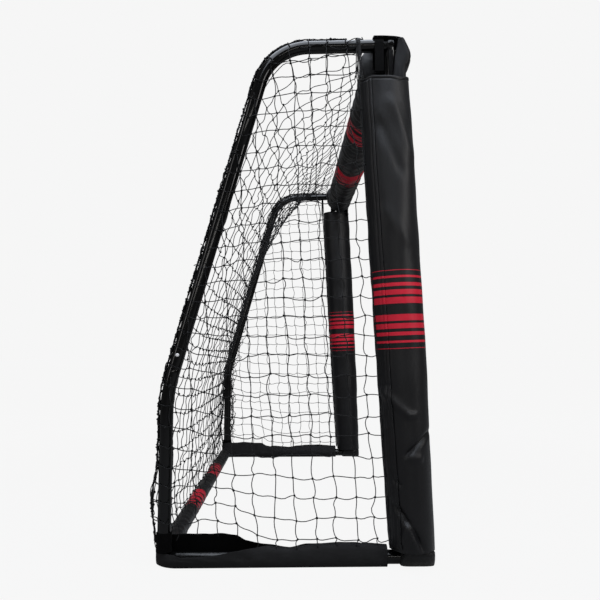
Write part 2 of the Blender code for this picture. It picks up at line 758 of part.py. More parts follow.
def along(points, share):
    """Point at a share of a polyline's length."""
    lengths = [(b - a).length for a, b in zip(points, points[1:])]
    left = share * sum(lengths)
    for k, length in enumerate(lengths):
        if left <= length or k == len(lengths) - 1:
            return points[k] + (points[k + 1] - points[k]) * (left / length)
        left -= length


def length_of(points):
    return sum((b - a).length for a, b in zip(points, points[1:]))


def offset_line(points, distance):
    """A path in the side frame's plane, moved to its inner side."""
    moved = []
    for k, point in enumerate(points):
        before = points[max(k - 1, 0)]
        after = points[min(k + 1, len(points) - 1)]
        tangent = (after - before).normalized()
        moved.append(point + Vector((0, tangent.z, -tangent.y)) * distance)
    return moved


def build_side_net(side, x):
    """Side panel between the sleeve, the hem, the stay and the top tube."""
    clear = TUBE_R + GAP
    elbow = elbow_points(x)
    half_way = ELBOW_STEPS // 2
    top_z = CORNER_HEIGHT - (NET_FRONT_Y - CORNER_Y) * math.tan(TOP_FALL)
    roof = offset_line([Vector((x, NET_FRONT_Y, top_z))] + elbow[: half_way + 1], clear)
    stay_foot = Vector((x, STAY_Y, HEM_FIN_TOP + GAP))
    wall = offset_line(elbow[half_way:] + knee_points(x) + [stay_foot], clear)[::-1]
    wall[0] = Vector((x, STAY_Y - CUFF_R - GAP, HEM_FIN_TOP + GAP))
    wall[-1] = roof[-1]
    sleeve_edge = [z for z in sleeve_heights() if z > hem_top(POST_FOOT_Y) + STRAND]
    foot_y = side_net_front(SLEEVE_FOOT)
    front = [Vector((x, foot_y, hem_top(foot_y) + GAP))]
    front += [Vector((x, side_net_front(z), z)) for z in sleeve_edge] + [roof[0]]

    def floor(u):
        y = front[0].y + (wall[0].y - front[0].y) * u
        return Vector((x, y, hem_top(y) + GAP))

    def surface(u, v):
        point = floor(u) * (1 - v) + along(roof, u) * v
        point += along(front, v) * (1 - u) + along(wall, v) * u
        point -= (front[0] * (1 - u) + wall[0] * u) * (1 - v)
        point -= (roof[0] * (1 - u) + roof[-1] * u) * v
        return point, Vector((1, 0, 0))

    width = ((wall[0] - front[0]).length + length_of(roof)) / 2
    height = (length_of(wall) + length_of(front)) / 2
    net_panel("side_net_" + side, surface, SIDE_CELLS, (width, height))


def strip_net(name, profile, cells, sag, ends, edge_r=TUBE_R):
    """Panel across the goal that follows a profile in the side frame's plane.

    It sags inwards between the two side frames; ends are its sag at the profile's two ends.
    """
    half_width = HALF - edge_r - GAP
    length = length_of(profile)

    def surface(u, v):
        point = along(profile, v)
        ahead = along(profile, min(v + 0.01, 1)) - along(profile, max(v - 0.01, 0))
        normal = Vector((1, 0, 0)).cross(ahead.normalized())
        depth = ends[0] * (1 - v) + ends[1] * v + 4 * sag * v * (1 - v)
        point = point - normal * (4 * u * (1 - u) * depth)
        return Vector((half_width * (2 * u - 1), point.y, point.z)), normal

    net_panel(name, surface, cells, (2 * half_width, length))


def build_roof_and_back():
    """Top panel, slanted back panel and low back panel of the net."""
    lift = CORNER_HEIGHT - (SLEEVE_GIRTH_R + SLEEVE_PULL) * math.tan(TOP_FALL) - BAR_SLEEVE_Z
    front_y = BAR_SLEEVE_Y + math.sqrt(SLEEVE_GIRTH_R**2 - lift**2) + GAP + NET_THICK / 2
    front_z = CORNER_HEIGHT - (front_y - CORNER_Y) * math.tan(TOP_FALL)
    elbow = elbow_points(0)
    knee = knee_points(0)
    elbow_half = ELBOW_STEPS // 2
    knee_half = KNEE_STEPS // 2
    share = GAP / 2 + NET_THICK / 2
    top = [Vector((0, front_y, front_z))] + elbow[: elbow_half + 1]
    back = elbow[elbow_half:] + knee[: knee_half + 1]
    low = knee[knee_half:] + [Vector((0, STAY_Y, 2 * HEM_R - HEM_FLAT + GAP + NET_THICK / 2))]
    strip_net("top_net", trimmed(top, 0, share), TOP_CELLS, TOP_SAG, (0, BACK_SAG))
    strip_net("back_net", trimmed(back, share, share), BACK_CELLS, 0, (BACK_SAG, BACK_SAG))
    strip_net("lower_back_net", trimmed(low, share, 0), LOWER_CELLS, LOWER_SAG, (BACK_SAG, 0), CUFF_R)


def trimmed(points, start, end):
    """The same path, shortened a little at its ends."""
    first = points[0] + (points[1] - points[0]).normalized() * start
    last = points[-1] + (points[-2] - points[-1]).normalized() * end
    return [first] + points[1:-1] + [last]


def build_tie(side, x, sign):
    """Gathered edge cord of the net, looped over the top tube and led down to the sleeve."""
    reach = TUBE_R + GAP + TIE_R
    y = TAB_FRONT_Y + TIE_FROM_TAB
    z = CORNER_HEIGHT - (y - CORNER_Y) * math.tan(TOP_FALL)
    points = []
    for k in range(9):
        angle = TIE_WRAP * (1 - k / 8)
        points.append((x + sign * reach * math.cos(angle), y, z + reach * math.sin(angle)))
    for k in range(1, 6):
        t = k / 5
        points.append((x + sign * reach, y - TIE_LEAN * t * t, z - TIE_TAIL * t))
    name = "net_tie_" + side
    curve = bpy.data.curves.new(name, "CURVE")
    curve.dimensions = "3D"
    curve.bevel_depth = TIE_R
    curve.bevel_resolution = 1
    curve.use_fill_caps = True
    spline = curve.splines.new("POLY")
    spline.points.add(len(points) - 1)
    for slot, point in zip(spline.points, points):
        slot.co = (*point, 1)
    curve.materials.append(surface_finish(name, NET_CORD))
    bpy.context.scene.collection.objects.link(bpy.data.objects.new(name, curve))


def main():
    clear_scene()
    for side, sign in SIDES:
        x = sign * HALF
        build_posts(side, x)
        build_corner(side, x, sign)
        build_top_and_stay(side, x, sign)
        build_button(side, x, sign)
        build_spring(side, x, sign)
        build_base(side, x, sign)
        build_post_sleeve(side, x, sign)
        build_hood(side, x, sign)
        build_tab(side, x, sign)
        build_boot(side, x)
        build_hem(side, x)
        build_cuff(side, x)
        build_side_net(side, x)
        build_tie(side, x, sign)
    build_bars()
    build_bar_sleeve()
    build_rear_sleeve()
    build_roof_and_back()


main()
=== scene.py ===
import math

import bpy
import numpy as np
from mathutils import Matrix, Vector


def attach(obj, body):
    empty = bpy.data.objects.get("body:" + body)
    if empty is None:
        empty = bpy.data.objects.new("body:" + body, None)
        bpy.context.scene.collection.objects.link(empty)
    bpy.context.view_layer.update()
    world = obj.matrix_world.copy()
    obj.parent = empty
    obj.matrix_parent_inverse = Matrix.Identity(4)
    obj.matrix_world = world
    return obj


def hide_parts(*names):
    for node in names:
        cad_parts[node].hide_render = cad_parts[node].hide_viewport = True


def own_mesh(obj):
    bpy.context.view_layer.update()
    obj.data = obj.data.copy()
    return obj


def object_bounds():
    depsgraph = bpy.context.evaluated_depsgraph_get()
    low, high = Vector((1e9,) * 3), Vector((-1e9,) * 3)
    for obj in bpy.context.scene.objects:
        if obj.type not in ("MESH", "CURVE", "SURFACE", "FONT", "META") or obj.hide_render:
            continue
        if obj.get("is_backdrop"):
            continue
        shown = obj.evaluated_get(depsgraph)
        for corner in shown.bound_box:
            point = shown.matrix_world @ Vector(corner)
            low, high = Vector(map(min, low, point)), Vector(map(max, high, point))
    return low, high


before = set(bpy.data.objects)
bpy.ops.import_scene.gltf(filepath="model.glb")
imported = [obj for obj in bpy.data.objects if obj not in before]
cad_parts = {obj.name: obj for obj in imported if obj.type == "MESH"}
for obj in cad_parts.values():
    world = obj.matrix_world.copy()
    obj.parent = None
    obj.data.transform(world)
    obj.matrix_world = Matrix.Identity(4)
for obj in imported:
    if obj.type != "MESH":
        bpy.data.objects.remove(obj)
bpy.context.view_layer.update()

# %% [markdown]
# The measures below are those of the real goal. A piece that lies on the frame takes its place
# from these, so the cloth and the net fit the tubes from any side.
# %% Measures of the frame
HALF = 0.587
CORNER_Y = -0.1995
CORNER_Z = 1.0505
POST_FOOT_Y = -0.22575
REAR_Y = 0.25425
STAY_Y = 0.25125
BASE_Z = 0.0153
TUBE_R = 0.013
POST_LEAN = math.radians(1.45)
TOP_FALL = math.radians(1.95)
STAY_SLANT = math.radians(15.7)
KNEE_Z = 0.329
SIDES = (("left", -1), ("right", 1))


def post_y(z):
    """Depth of the post's centre line at a height: its foot plus height times the lean."""
    return POST_FOOT_Y + (z - BASE_Z) * math.tan(POST_LEAN)


# %% [markdown]
# A mesh is only lists of numbers, so whole arrays go in at once. A surface here is a grid of
# points, rows by columns. Each cell of the grid is a four-sided face, and a grid that goes
# round a tube is wrapped, so its last column meets the first.
# %% Mesh helpers
def mesh_piece(name, points, faces):
    """Object on the goal's body: (n, 3) points and a list of (m, 3) or (m, 4) arrays of faces."""
    mesh = bpy.data.meshes.new(name)
    sizes = np.concatenate([np.full(len(f), f.shape[1]) for f in faces])
    loops = np.concatenate([f.ravel() for f in faces])
    starts = np.cumsum(sizes) - sizes
    mesh.vertices.add(len(points))
    mesh.vertices.foreach_set("co", np.asarray(points, np.float32).ravel())
    mesh.loops.add(len(loops))
    mesh.loops.foreach_set("vertex_index", loops.astype(np.int32))
    mesh.polygons.add(len(sizes))
    mesh.polygons.foreach_set("loop_start", starts.astype(np.int32))
    mesh.update(calc_edges=True)
    mesh.shade_smooth()
    piece = bpy.data.objects.new(name, mesh)
    bpy.context.scene.collection.objects.link(piece)
    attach(piece, "goal")
    return piece


def grid_faces(rows, columns, wrap_rows=False, wrap_columns=False, first=0):
    """Quads of a grid of points, where point (r, c) has number first + r * columns + c."""
    r = np.arange(rows if wrap_rows else rows - 1)[:, None]
    c = np.arange(columns if wrap_columns else columns - 1)[None, :]
    r2, c2 = (r + 1) % rows, (c + 1) % columns
    quads = np.stack([r * columns + c, r * columns + c2, r2 * columns + c2, r2 * columns + c], -1)
    return quads.reshape(-1, 4) + first


def unit(vectors):
    """Each vector divided by its length."""
    return vectors / np.maximum(np.linalg.norm(vectors, axis=-1, keepdims=True), 1e-12)


def grid_normals(grid, wrap_columns=False):
    """Normals of a grid: the cross product of its slopes along the rows and the columns."""
    along = np.gradient(grid, axis=0)
    if wrap_columns:
        across = np.roll(grid, -1, 1) - np.roll(grid, 1, 1)
    else:
        across = np.gradient(grid, axis=1)
    return unit(np.cross(across, along))


def cloth_piece(name, grid, thick, wrap_columns=False):
    """Closed sheet: the grid, a copy moved inwards by the thickness, and a rim at open edges."""
    rows, columns = grid.shape[:2]
    inner = grid - grid_normals(grid, wrap_columns) * thick
    points = np.concatenate([grid.reshape(-1, 3), inner.reshape(-1, 3)])
    outside = grid_faces(rows, columns, wrap_columns=wrap_columns)
    count = rows * columns
    faces = [outside, outside[:, ::-1] + count]
    edges = []
    number = np.arange(count).reshape(rows, columns)
    ends = [(number[0], False), (number[-1], True)]
    if not wrap_columns:
        ends += [(number[:, 0], True), (number[:, -1], False)]
    for line, flip in ends:
        a, b = line[:-1], line[1:]
        if wrap_columns:
            a, b = line, np.roll(line, -1)
        quad = np.stack([b, a, a + count, b + count], -1)
        edges.append(quad[:, ::-1] if flip else quad)
    faces.append(np.concatenate(edges))
    return mesh_piece(name, points, faces)


def blend_step(x, low, high):
    """0 below low, 1 above high, and a smooth S between them."""
    t = np.clip((x - low) / (high - low), 0, 1)
    return t * t * (3 - 2 * t)


# %% [markdown]
# A tube is a circle carried along a path. Every tube of the frame bends in one flat plane, so
# the plane's normal and the path's direction give the two axes of each circle, and the circle
# never twists.
# %% Tubes
PIPE_SIDES = 40
SHARP = math.radians(40)


def tube_rings(path, radius, plane_normal, sides):
    """(n, sides, 3) rings: centre + radius times (cosine of the normal + sine of the binormal)."""
    path = np.asarray(path, float)
    tangent = unit(np.gradient(path, axis=0))
    side = np.broadcast_to(np.asarray(plane_normal, float), path.shape)
    side = unit(side - tangent * (side * tangent).sum(-1, keepdims=True))
    other = np.cross(tangent, side)
    turn = np.linspace(0, 2 * math.pi, sides, endpoint=False)
    spokes = side[:, None] * np.cos(turn)[:, None] + other[:, None] * np.sin(turn)[:, None]
    radius = np.broadcast_to(radius, len(path))
    return path[:, None] + spokes * radius[:, None, None]


def pipe_piece(name, path, radius, bore, plane_normal):
    """Hollow tube: outer rings, then the bore's rings backwards, wrapped into one closed skin."""
    outer = tube_rings(path, radius, plane_normal, PIPE_SIDES)
    inner = tube_rings(path, bore, plane_normal, PIPE_SIDES)[::-1]
    rings = np.concatenate([outer, inner])
    faces = [grid_faces(len(rings), PIPE_SIDES, wrap_rows=True, wrap_columns=True)[:, ::-1]]
    piece = mesh_piece(name, rings.reshape(-1, 3), faces)
    piece.data.set_sharp_from_angle(angle=SHARP)
    return piece


def arc(before, corner, after, radius, steps):
    """Points of a round bend: the bend's centre plus its radius turned in equal steps."""
    before, corner, after = (np.asarray(p, float) for p in (before, corner, after))
    arriving, leaving = unit(corner - before), unit(after - corner)
    turn = math.acos(np.clip(arriving @ leaving, -1, 1))
    inward = unit(leaving - arriving * (arriving @ leaving))
    start = corner - arriving * radius * math.tan(turn / 2)
    centre = start + inward * radius
    angle = np.linspace(0, turn, steps + 1)[:, None]
    return centre + radius * (np.sin(angle) * arriving - np.cos(angle) * inward)


def join_path(*parts):
    """Parts of a path in order, as one array of points."""
    return np.concatenate([np.atleast_2d(np.asarray(p, float)) for p in parts])


# %% [markdown]
# A material's sums are written as Python: `Wire` holds a value on its way through the nodes,
# and each sign adds one Math node. `Finish` starts a material and adds any other node.
# %% Material helpers
class Wire:
    """A value inside a material. A sum, product or power of wires adds a Math node."""

    def __init__(self, finish, socket):
        self.finish = finish
        self.socket = socket

    def maths(self, operation, *values):
        """Math node of an operation on wires and numbers."""
        return self.finish.node("ShaderNodeMath", {"operation": operation}, dict(enumerate(values)))

    def __add__(self, other):
        return self.maths("ADD", self, other)

    def __sub__(self, other):
        return self.maths("SUBTRACT", self, other)

    def __rsub__(self, other):
        return self.maths("SUBTRACT", other, self)

    def __mul__(self, other):
        return self.maths("MULTIPLY", self, other)

    def __pow__(self, other):
        return self.maths("POWER", self, other)

    __radd__ = __add__

    def wave(self, period):
        """Sine of the value, one turn for each period."""
        return self.maths("SINE", self * (2 * math.pi / period))

    def clamped(self):
        """The value, kept from 0 to 1."""
        return self.maths("MAXIMUM", self.maths("MINIMUM", self, 1.0), 0.0)

    def between(self, low, high, soft):
        """1 where the value lies from low to high, with edges as wide as soft."""
        rise = ((self - low) * (1 / soft) + 0.5).clamped()
        fall = ((high - self) * (1 / soft) + 0.5).clamped()
        return rise * fall


class Finish:
    """A new material, its shader, and one method for every node."""

    def __init__(self, name, **constants):
        self.material = bpy.data.materials.new(name)
        self.material.use_nodes = True
        self.tree = self.material.node_tree
        self.shader = self.tree.nodes["Principled BSDF"]
        for socket, value in constants.items():
            self.shader.inputs[socket.replace("_", " ")].default_value = value

    def node(self, kind, settings=None, values=None, output=0):
        """Adds a node. Settings come first, then values or wires for its sockets."""
        node = self.tree.nodes.new(kind)
        for key, value in (settings or {}).items():
            setattr(node, key, value)
        for key, value in (values or {}).items():
            if isinstance(value, Wire):
                self.tree.links.new(value.socket, node.inputs[key])
            else:
                node.inputs[key].default_value = value
        return Wire(self, node.outputs[output])

    def place(self):
        """X, Y and Z of the surface point, in metres."""
        return self.parts(self.node("ShaderNodeTexCoord", output="Object"))

    def parts(self, vector):
        """X, Y and Z of a vector, as three wires."""
        split = self.node("ShaderNodeSeparateXYZ", values={0: vector}, output="X")
        outputs = split.socket.node.outputs
        return [Wire(self, outputs[axis]) for axis in "XYZ"]

    def weave_map(self):
        """U and V of the cloth's own map, in metres along its threads."""
        return self.parts(self.node("ShaderNodeUVMap", {"uv_map": "UVMap"}))[:2]

    def noise(self, scale, detail=2.0):
        """Cloudy value from 0 to 1, whose clouds are about one over the scale wide, in metres."""
        source = self.node("ShaderNodeTexCoord", output="Object")
        values = {"Vector": source, "Scale": scale, "Detail": detail}
        return self.node("ShaderNodeTexNoise", values=values, output="Fac")

    def colour(self, factor, low, high):
        """Mix of two colours by a wire; each may be a wire itself."""
        values = {0: factor, 6: low, 7: high}
        return self.node("ShaderNodeMix", {"data_type": "RGBA"}, values, output=2)

    def bump(self, height, distance, strength=1.0, below=None):
        """Normal tilted by the slope of a height, on top of an earlier bump if one is given."""
        values = {"Height": height, "Distance": distance, "Strength": strength}
        if below is not None:
            values["Normal"] = below
        return self.node("ShaderNodeBump", values=values, output="Normal")

    def feed(self, **wires):
        """Links wires into the shader's own sockets."""
        for socket, wire in wires.items():
            self.tree.links.new(wire.socket, self.shader.inputs[socket.replace("_", " ")])
        return self.material


def grey(value, blue=1.0):
    """Colour with equal red and green, and a blue that is theirs times a factor."""
    return (value, value, value * blue, 1)


# %% [markdown]
# The tubes are steel with a baked black powder coat. It is glossy, but its skin is very faintly
# pebbled, which breaks a lamp's edge. The coat hardly varies, and fine handling marks show only
# as a little more roughness.
# %% Tube paint
paint = Finish("powder_coat_black", Specular_IOR_Level=0.28)
pebble = paint.noise(900.0, 2.0)
marks = paint.noise(35.0, 4.0)
paint_look = paint.feed(
    Base_Color=paint.colour(marks, grey(0.0010, 1.1), grey(0.0020, 1.1)),
    Roughness=0.10 + marks * 0.07,
    Normal=paint.bump(pebble, 0.00006, 0.4),
)

# %% [markdown]
# The corner joints, their bolts and the sockets are painted like the tubes. Only the springs
# inside the stays are zinc plated: a pale, slightly mottled metal, duller where it was handled.
# %% Plated hardware
zinc = Finish("zinc_plate", Metallic=1.0)
mottle = zinc.noise(220.0, 3.0)
zinc_look = zinc.feed(
    Base_Color=zinc.colour(mottle, grey(0.36, 1.04), grey(0.52, 1.02)),
    Roughness=0.25 + mottle * 0.2,
    Normal=zinc.bump(zinc.noise(1500.0, 2.0), 0.00004, 0.5),
)

# %% [markdown]
# The sleeves are coated polyester: black warp and weft threads about a millimetre apart, with a
# smooth face that shines along every fold. Crimson bands are dyed into it. They stand in two
# groups, and each band is thinner than the one before it.
# %% Sleeve cloth
CRIMSON = (0.60, 0.012, 0.034, 1)
FADED_CRIMSON = (0.52, 0.010, 0.029, 1)
THREAD = 0.0011
BAND_EDGE = 0.0006
POST_BANDS = (
    (0.0105, 0.0126), (0.0281, 0.0100), (0.0447, 0.0070), (0.0615, 0.0044), (0.0759, 0.0012),
)
BAR_BANDS = ((0.138, 0.028), (0.173, 0.020), (0.201, 0.013), (0.224, 0.009), (0.244, 0.003))
REAR_BANDS = ((0.110, 0.032), (0.152, 0.026), (0.190, 0.020), (0.224, 0.013), (0.251, 0.005))


def sleeve_finish(name, bands=(), axis=2, middle=0.0, slope=0.0, shine=0.27):
    """Coated cloth with bands on both sides of a middle line, each a (start, width) from it.

    Where the cloth hangs a little twisted, the bands fall to the rear by a slope. The plain
    weave's height is the product of two sines, one along each thread.
    """
    cloth = Finish(name, Specular_IOR_Level=shine, Sheen_Weight=0.05, Sheen_Roughness=0.4)
    u, v = cloth.weave_map()
    threads = u.wave(2 * THREAD) * v.wave(2 * THREAD)
    patches = cloth.noise(14.0, 3.0)
    black = cloth.colour(patches, grey(0.0022, 1.2), grey(0.0040, 1.25))
    colour = black
    if bands:
        spot = cloth.place()
        place = spot[axis] + spot[1] * slope - middle
        away = place.maths("ABSOLUTE", place)
        dyed = None
        for start, width in bands:
            band = away.between(start, start + width, BAND_EDGE)
            dyed = band if dyed is None else dyed + band
        faded = cloth.colour(cloth.noise(120.0, 2.0), CRIMSON, FADED_CRIMSON)
        colour = cloth.colour(dyed, black, faded)
    crumple = cloth.bump(cloth.noise(160.0, 3.0), 0.0006, 0.35)
    return cloth.feed(
        Base_Color=colour,
        Roughness=0.33 + patches * 0.14 + threads * 0.03,
        Normal=cloth.bump(threads, 0.00012, 0.5, below=crumple),
    )


POST_BAND_Y, POST_BAND_Z = -0.210, 0.494
POST_BAND_SLOPE = 0.04
BAR_BAND_X = -0.055
REAR_BAND_X = -0.005
post_middle = POST_BAND_Z + POST_BAND_Y * POST_BAND_SLOPE
post_cloth = sleeve_finish("coated_cloth_post", POST_BANDS, 2, post_middle, POST_BAND_SLOPE)
bar_cloth = sleeve_finish("coated_cloth_bar", BAR_BANDS, 0, BAR_BAND_X)
rear_cloth = sleeve_finish("coated_cloth_rear", REAR_BANDS, 0, REAR_BAND_X)
plain_cloth = sleeve_finish("coated_cloth_plain")
hood_cloth = sleeve_finish("coated_cloth_hood", shine=0.12)

# %% [markdown]
# Hems, cuffs and tabs are heavier webbing: thick ribs across a duller face. Inside each hem the
# darker webbing is drawn as painted shade for the shade in the wrap, so its outer face is paler.
# %% Webbing
def webbing(name, low, high, shine):
    """Ribbed cloth between two greys."""
    cloth = Finish(name, Sheen_Weight=0.01, Specular_IOR_Level=shine)
    along, over = cloth.weave_map()
    ribs = along.wave(0.0022) * 0.6 + over.wave(0.0011) * 0.4
    fluff = cloth.noise(60.0, 4.0)
    return cloth.feed(
        Base_Color=cloth.colour(fluff, grey(low, 1.05), grey(high, 1.05)),
        Roughness=0.62 + fluff * 0.2,
        Normal=cloth.bump(ribs, 0.00025, 0.6),
    )


strap_look = webbing("webbing_black", 0.0012, 0.0024, 0.03)
hem_look = webbing("hem_outer_black", 0.0100, 0.0160, 0.12)

# %% [markdown]
# The net's cord is twisted black twine. The twist is drawn by its own map: U goes round the
# cord and V along it, so a sum of both makes slanted strands.
# %% Net cord
twine = Finish("twisted_twine", Sheen_Weight=0.02, Specular_IOR_Level=0.2)
twine_u, twine_v = twine.weave_map()
plies = (twine_u * 2.0 + twine_v * 260.0).wave(1.0)
fuzz = twine.noise(400.0, 3.0)
twine_look = twine.feed(
    Base_Color=twine.colour(fuzz, grey(0.0050, 1.1), grey(0.0110, 1.1)),
    Roughness=0.6 + fuzz * 0.25,
    Normal=twine.bump(plies, 0.0003, 0.7),
)

# %% [markdown]
# The head of each snap button is drawn pale grey: a painted highlight for
# the glint on its metal.
# %% Button head, painted as a glint
cap = Finish("button_painted_glint", Specular_IOR_Level=0.5)
scuffs = cap.noise(700.0, 3.0)
button_glint_look = cap.feed(
    Base_Color=cap.colour(scuffs, grey(0.62), grey(0.80)),
    Roughness=0.35 + scuffs * 0.15,
)
print("finishes:", len(bpy.data.materials))

# %% [markdown]
# The camera stands a little over a metre from the left side frame, at knee height, and looks
# across the goal with a slight tilt up. Being that close, it draws the far side half as large.
# %% Camera
CAMERA = Vector((-1.737, 0.0157, 0.409))
YAW = math.radians(1.31)
PITCH = math.radians(5.22)
camera_data = bpy.data.cameras.new("camera")
camera_data.lens = 34.5
camera_data.sensor_width = 36
camera_data.clip_start = 0.05
camera = bpy.data.objects.new("camera", camera_data)
camera.location = CAMERA
look = Vector((math.cos(YAW) * math.cos(PITCH), -math.sin(YAW) * math.cos(PITCH), math.sin(PITCH)))
camera.rotation_euler = look.to_track_quat("-Z", "Y").to_euler()
bpy.context.scene.collection.objects.link(camera)
bpy.context.scene.camera = camera
bpy.context.scene.view_settings.view_transform = "Standard"
print("camera looks along", [round(value, 3) for value in look])

# %% [markdown]
# Black things are drawn by what they mirror, so the lamps are large and soft: a wide box
# overhead for the bluish line along each tube, a low strip at the side for the fainter line
# under it, and two panels for the folds of the cloth.
# %% Lamps
# Each lamp: its place, the point it faces, its size, its power and its colour.
LAMPS = {
    "box_overhead": ((-0.9, -0.1, 2.25), (-0.4, 0, 0.5), (1.6, 2.3), 66, (0.84, 0.90, 1)),
    "strip_at_side": ((-3.3, 0.1, 0.95), (0, 0, 0.6), (2.2, 0.16), 8, (1, 0.98, 0.94)),
    "panel_front": ((-1.9, -2.0, 1.5), (-0.2, 0, 0.5), (0.5, 1.6), 20, (1, 0.98, 0.97)),
    "panel_rear": ((-1.8, 2.2, 1.4), (-0.2, 0, 0.5), (0.4, 1.6), 9, (1, 0.98, 0.97)),
}
for name, (place, target, size, power, colour) in LAMPS.items():
    lamp = bpy.data.lights.new(name, "AREA")
    lamp.shape = "RECTANGLE"
    lamp.size, lamp.size_y = size
    lamp.energy = power
    lamp.color = colour
    thing = bpy.data.objects.new(name, lamp)
    thing.location = place
    thing.rotation_euler = (Vector(target) - Vector(place)).to_track_quat("-Z", "Y").to_euler()
    bpy.context.scene.collection.objects.link(thing)
print("lamps:", ", ".join(LAMPS))

# %% [markdown]
# The pale studio is seen by the camera, and only faintly by what mirrors it, so it gives the
# black pieces hardly any light: they would turn grey under a white sky.
# %% World
PALE = 0.922
AMBIENT = 0.05
SKY_MIRRORED = 0.08
world = bpy.data.worlds.new("studio")
bpy.context.scene.world = world
world.use_nodes = True
sky_nodes = world.node_tree.nodes
sky = sky_nodes["Background"]
sky.inputs["Color"].default_value = (1, 1, 1, 1)
ray = sky_nodes.new("ShaderNodeLightPath")
seen = sky_nodes.new("ShaderNodeMath")
seen.operation = "MAXIMUM"
shade = sky_nodes.new("ShaderNodeMapRange")
shade.inputs["To Min"].default_value = AMBIENT
shade.inputs["To Max"].default_value = PALE
mirrored = sky_nodes.new("ShaderNodeMath")
mirrored.operation = "MULTIPLY_ADD"
mirrored.inputs[1].default_value = SKY_MIRRORED
sky_links = (
    (ray.outputs["Is Camera Ray"], seen.inputs[0]),
    (ray.outputs["Is Transmission Ray"], seen.inputs[1]),
    (ray.outputs["Is Glossy Ray"], mirrored.inputs[0]),
    (seen.outputs[0], mirrored.inputs[2]),
    (mirrored.outputs[0], shade.inputs["Value"]),
    (shade.outputs["Result"], sky.inputs["Strength"]),
)
for output, socket in sky_links:
    world.node_tree.links.new(output, socket)
print("sky seen at", PALE, "and lit at", AMBIENT)

# %% [markdown]
# The floor is a wide white sheet. It glows as pale as the sky where the camera looks at it, so
# no horizon shows, and a little of its own shading keeps the soft shadow under the goal.
# %% Floor
FLOOR_REACH = 30.0
FLOOR_Z = -0.0004
FLOOR_MIRRORED = 0.12
GLOW_SHARE = 0.94
GLOW_RISE_FROM = 0.9
GLOW_RISE_RATE = 1.2
GLOW_RISE = 0.01
reach = np.array([[-1, -1, 0], [1, -1, 0], [1, 1, 0], [-1, 1, 0]]) * FLOOR_REACH
floor_mesh = bpy.data.meshes.new("floor")
floor_mesh.from_pydata(reach.tolist(), [], [(0, 1, 2, 3)])
floor = bpy.data.objects.new("floor", floor_mesh)
floor.location.z = FLOOR_Z
bpy.context.scene.collection.objects.link(floor)
floor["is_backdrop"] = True
ground = Finish("floor_white", Roughness=0.9, Base_Color=grey(0.25))
ground_x, ground_y = ground.place()[:2]
from_middle = (ground_x * ground_x + ground_y * ground_y) ** 0.5
far_off = ((from_middle - GLOW_RISE_FROM) * GLOW_RISE_RATE).clamped()
camera_ray = ground.node("ShaderNodeLightPath", output="Is Camera Ray")
ray_kinds = camera_ray.socket.node.outputs
mirrored_ray = Wire(ground, ray_kinds["Is Glossy Ray"]) * FLOOR_MIRRORED
looked_at = camera_ray.maths("MAXIMUM", camera_ray, mirrored_ray)
looked_at = camera_ray.maths("MAXIMUM", looked_at, Wire(ground, ray_kinds["Is Transmission Ray"]))
glow = ground.node("ShaderNodeEmission", values={"Color": grey(0.970)})
principled = Wire(ground, ground.shader.outputs[0])
share = looked_at * (GLOW_SHARE + far_off * GLOW_RISE)
mixed = ground.node("ShaderNodeMixShader", values={0: share, 1: principled, 2: glow})
ground.tree.links.new(mixed.socket, ground.tree.nodes["Material Output"].inputs["Surface"])
floor.data.materials.append(ground.material)
print("floor reaches", FLOOR_REACH, "m each way")

# %% [markdown]
# The side frame is one line of push-together tubes: the base tube, which turns inwards at the
# rear, the post, the top tube with its elbow, and the stay with its knee. Each tube is narrowed
# at one end to slip into the next, so a fine step shows at each joint. The circles of a tube
# follow its line, with many of them in the bends.
# %% Side frame tubes
GAP = 0.0003
WALL = 0.0012
SWAGE_R = TUBE_R - WALL - GAP
SWAGE = 0.048
SHOULDER = 0.002
ELBOW_BEND = 0.108
KNEE_BEND = 0.30
REAR_BEND = 0.030
REAR_TAIL = 0.100
ELBOW_DROP = 0.218
SEAM_FROM_KNEE = 0.050
POST_SPLIT = 0.52
HUB = 0.0148
BUTTON_FROM_SEAM = 0.028
BUTTON_HOLE = 0.0040


def corner_of_elbow():
    """Where the top tube's line meets the stay's line, as (y, z)."""
    top = math.tan(TOP_FALL)
    stay = 1 / math.tan(STAY_SLANT)
    y = (CORNER_Z + top * CORNER_Y - KNEE_Z - stay * STAY_Y) / (top - stay)
    return y, CORNER_Z - (y - CORNER_Y) * top


ELBOW_Y, ELBOW_Z = corner_of_elbow()
ELBOW = np.array([0, ELBOW_Y, ELBOW_Z])
KNEE = np.array([0, STAY_Y, KNEE_Z])
CORNER = np.array([0, CORNER_Y, CORNER_Z])
FOOT_OF_STAY = np.array([0, STAY_Y, BASE_Z])
elbow_arc = arc(CORNER, ELBOW, KNEE, ELBOW_BEND, 20)
knee_arc = arc(ELBOW, KNEE, FOOT_OF_STAY, KNEE_BEND, 8)
print("elbow at", ELBOW.round(4), "knee at", KNEE.round(4))


SWAGE_STEPS = np.array([0, 0.0006, SHOULDER, SWAGE])[:, None]
SWAGE_RADII = np.array([TUBE_R, TUBE_R - 0.0004, SWAGE_R, SWAGE_R])


def pipe(name, line, seam=None, direction=None, x=0.0, plane=(1, 0, 0)):
    """Tube along a line at a place across the goal, narrowed past its seam if it has one."""
    line = np.asarray(line, float)
    radii = np.full(len(line), TUBE_R)
    if seam is not None:
        line = np.concatenate([line, seam + unit(np.asarray(direction, float)) * SWAGE_STEPS])
        radii = np.concatenate([radii, SWAGE_RADII])
    piece = pipe_piece(name + "_painted", line + [x, 0, 0], radii, radii - WALL, plane)
    piece.data.materials.append(paint_look)
    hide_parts(name)
    return piece


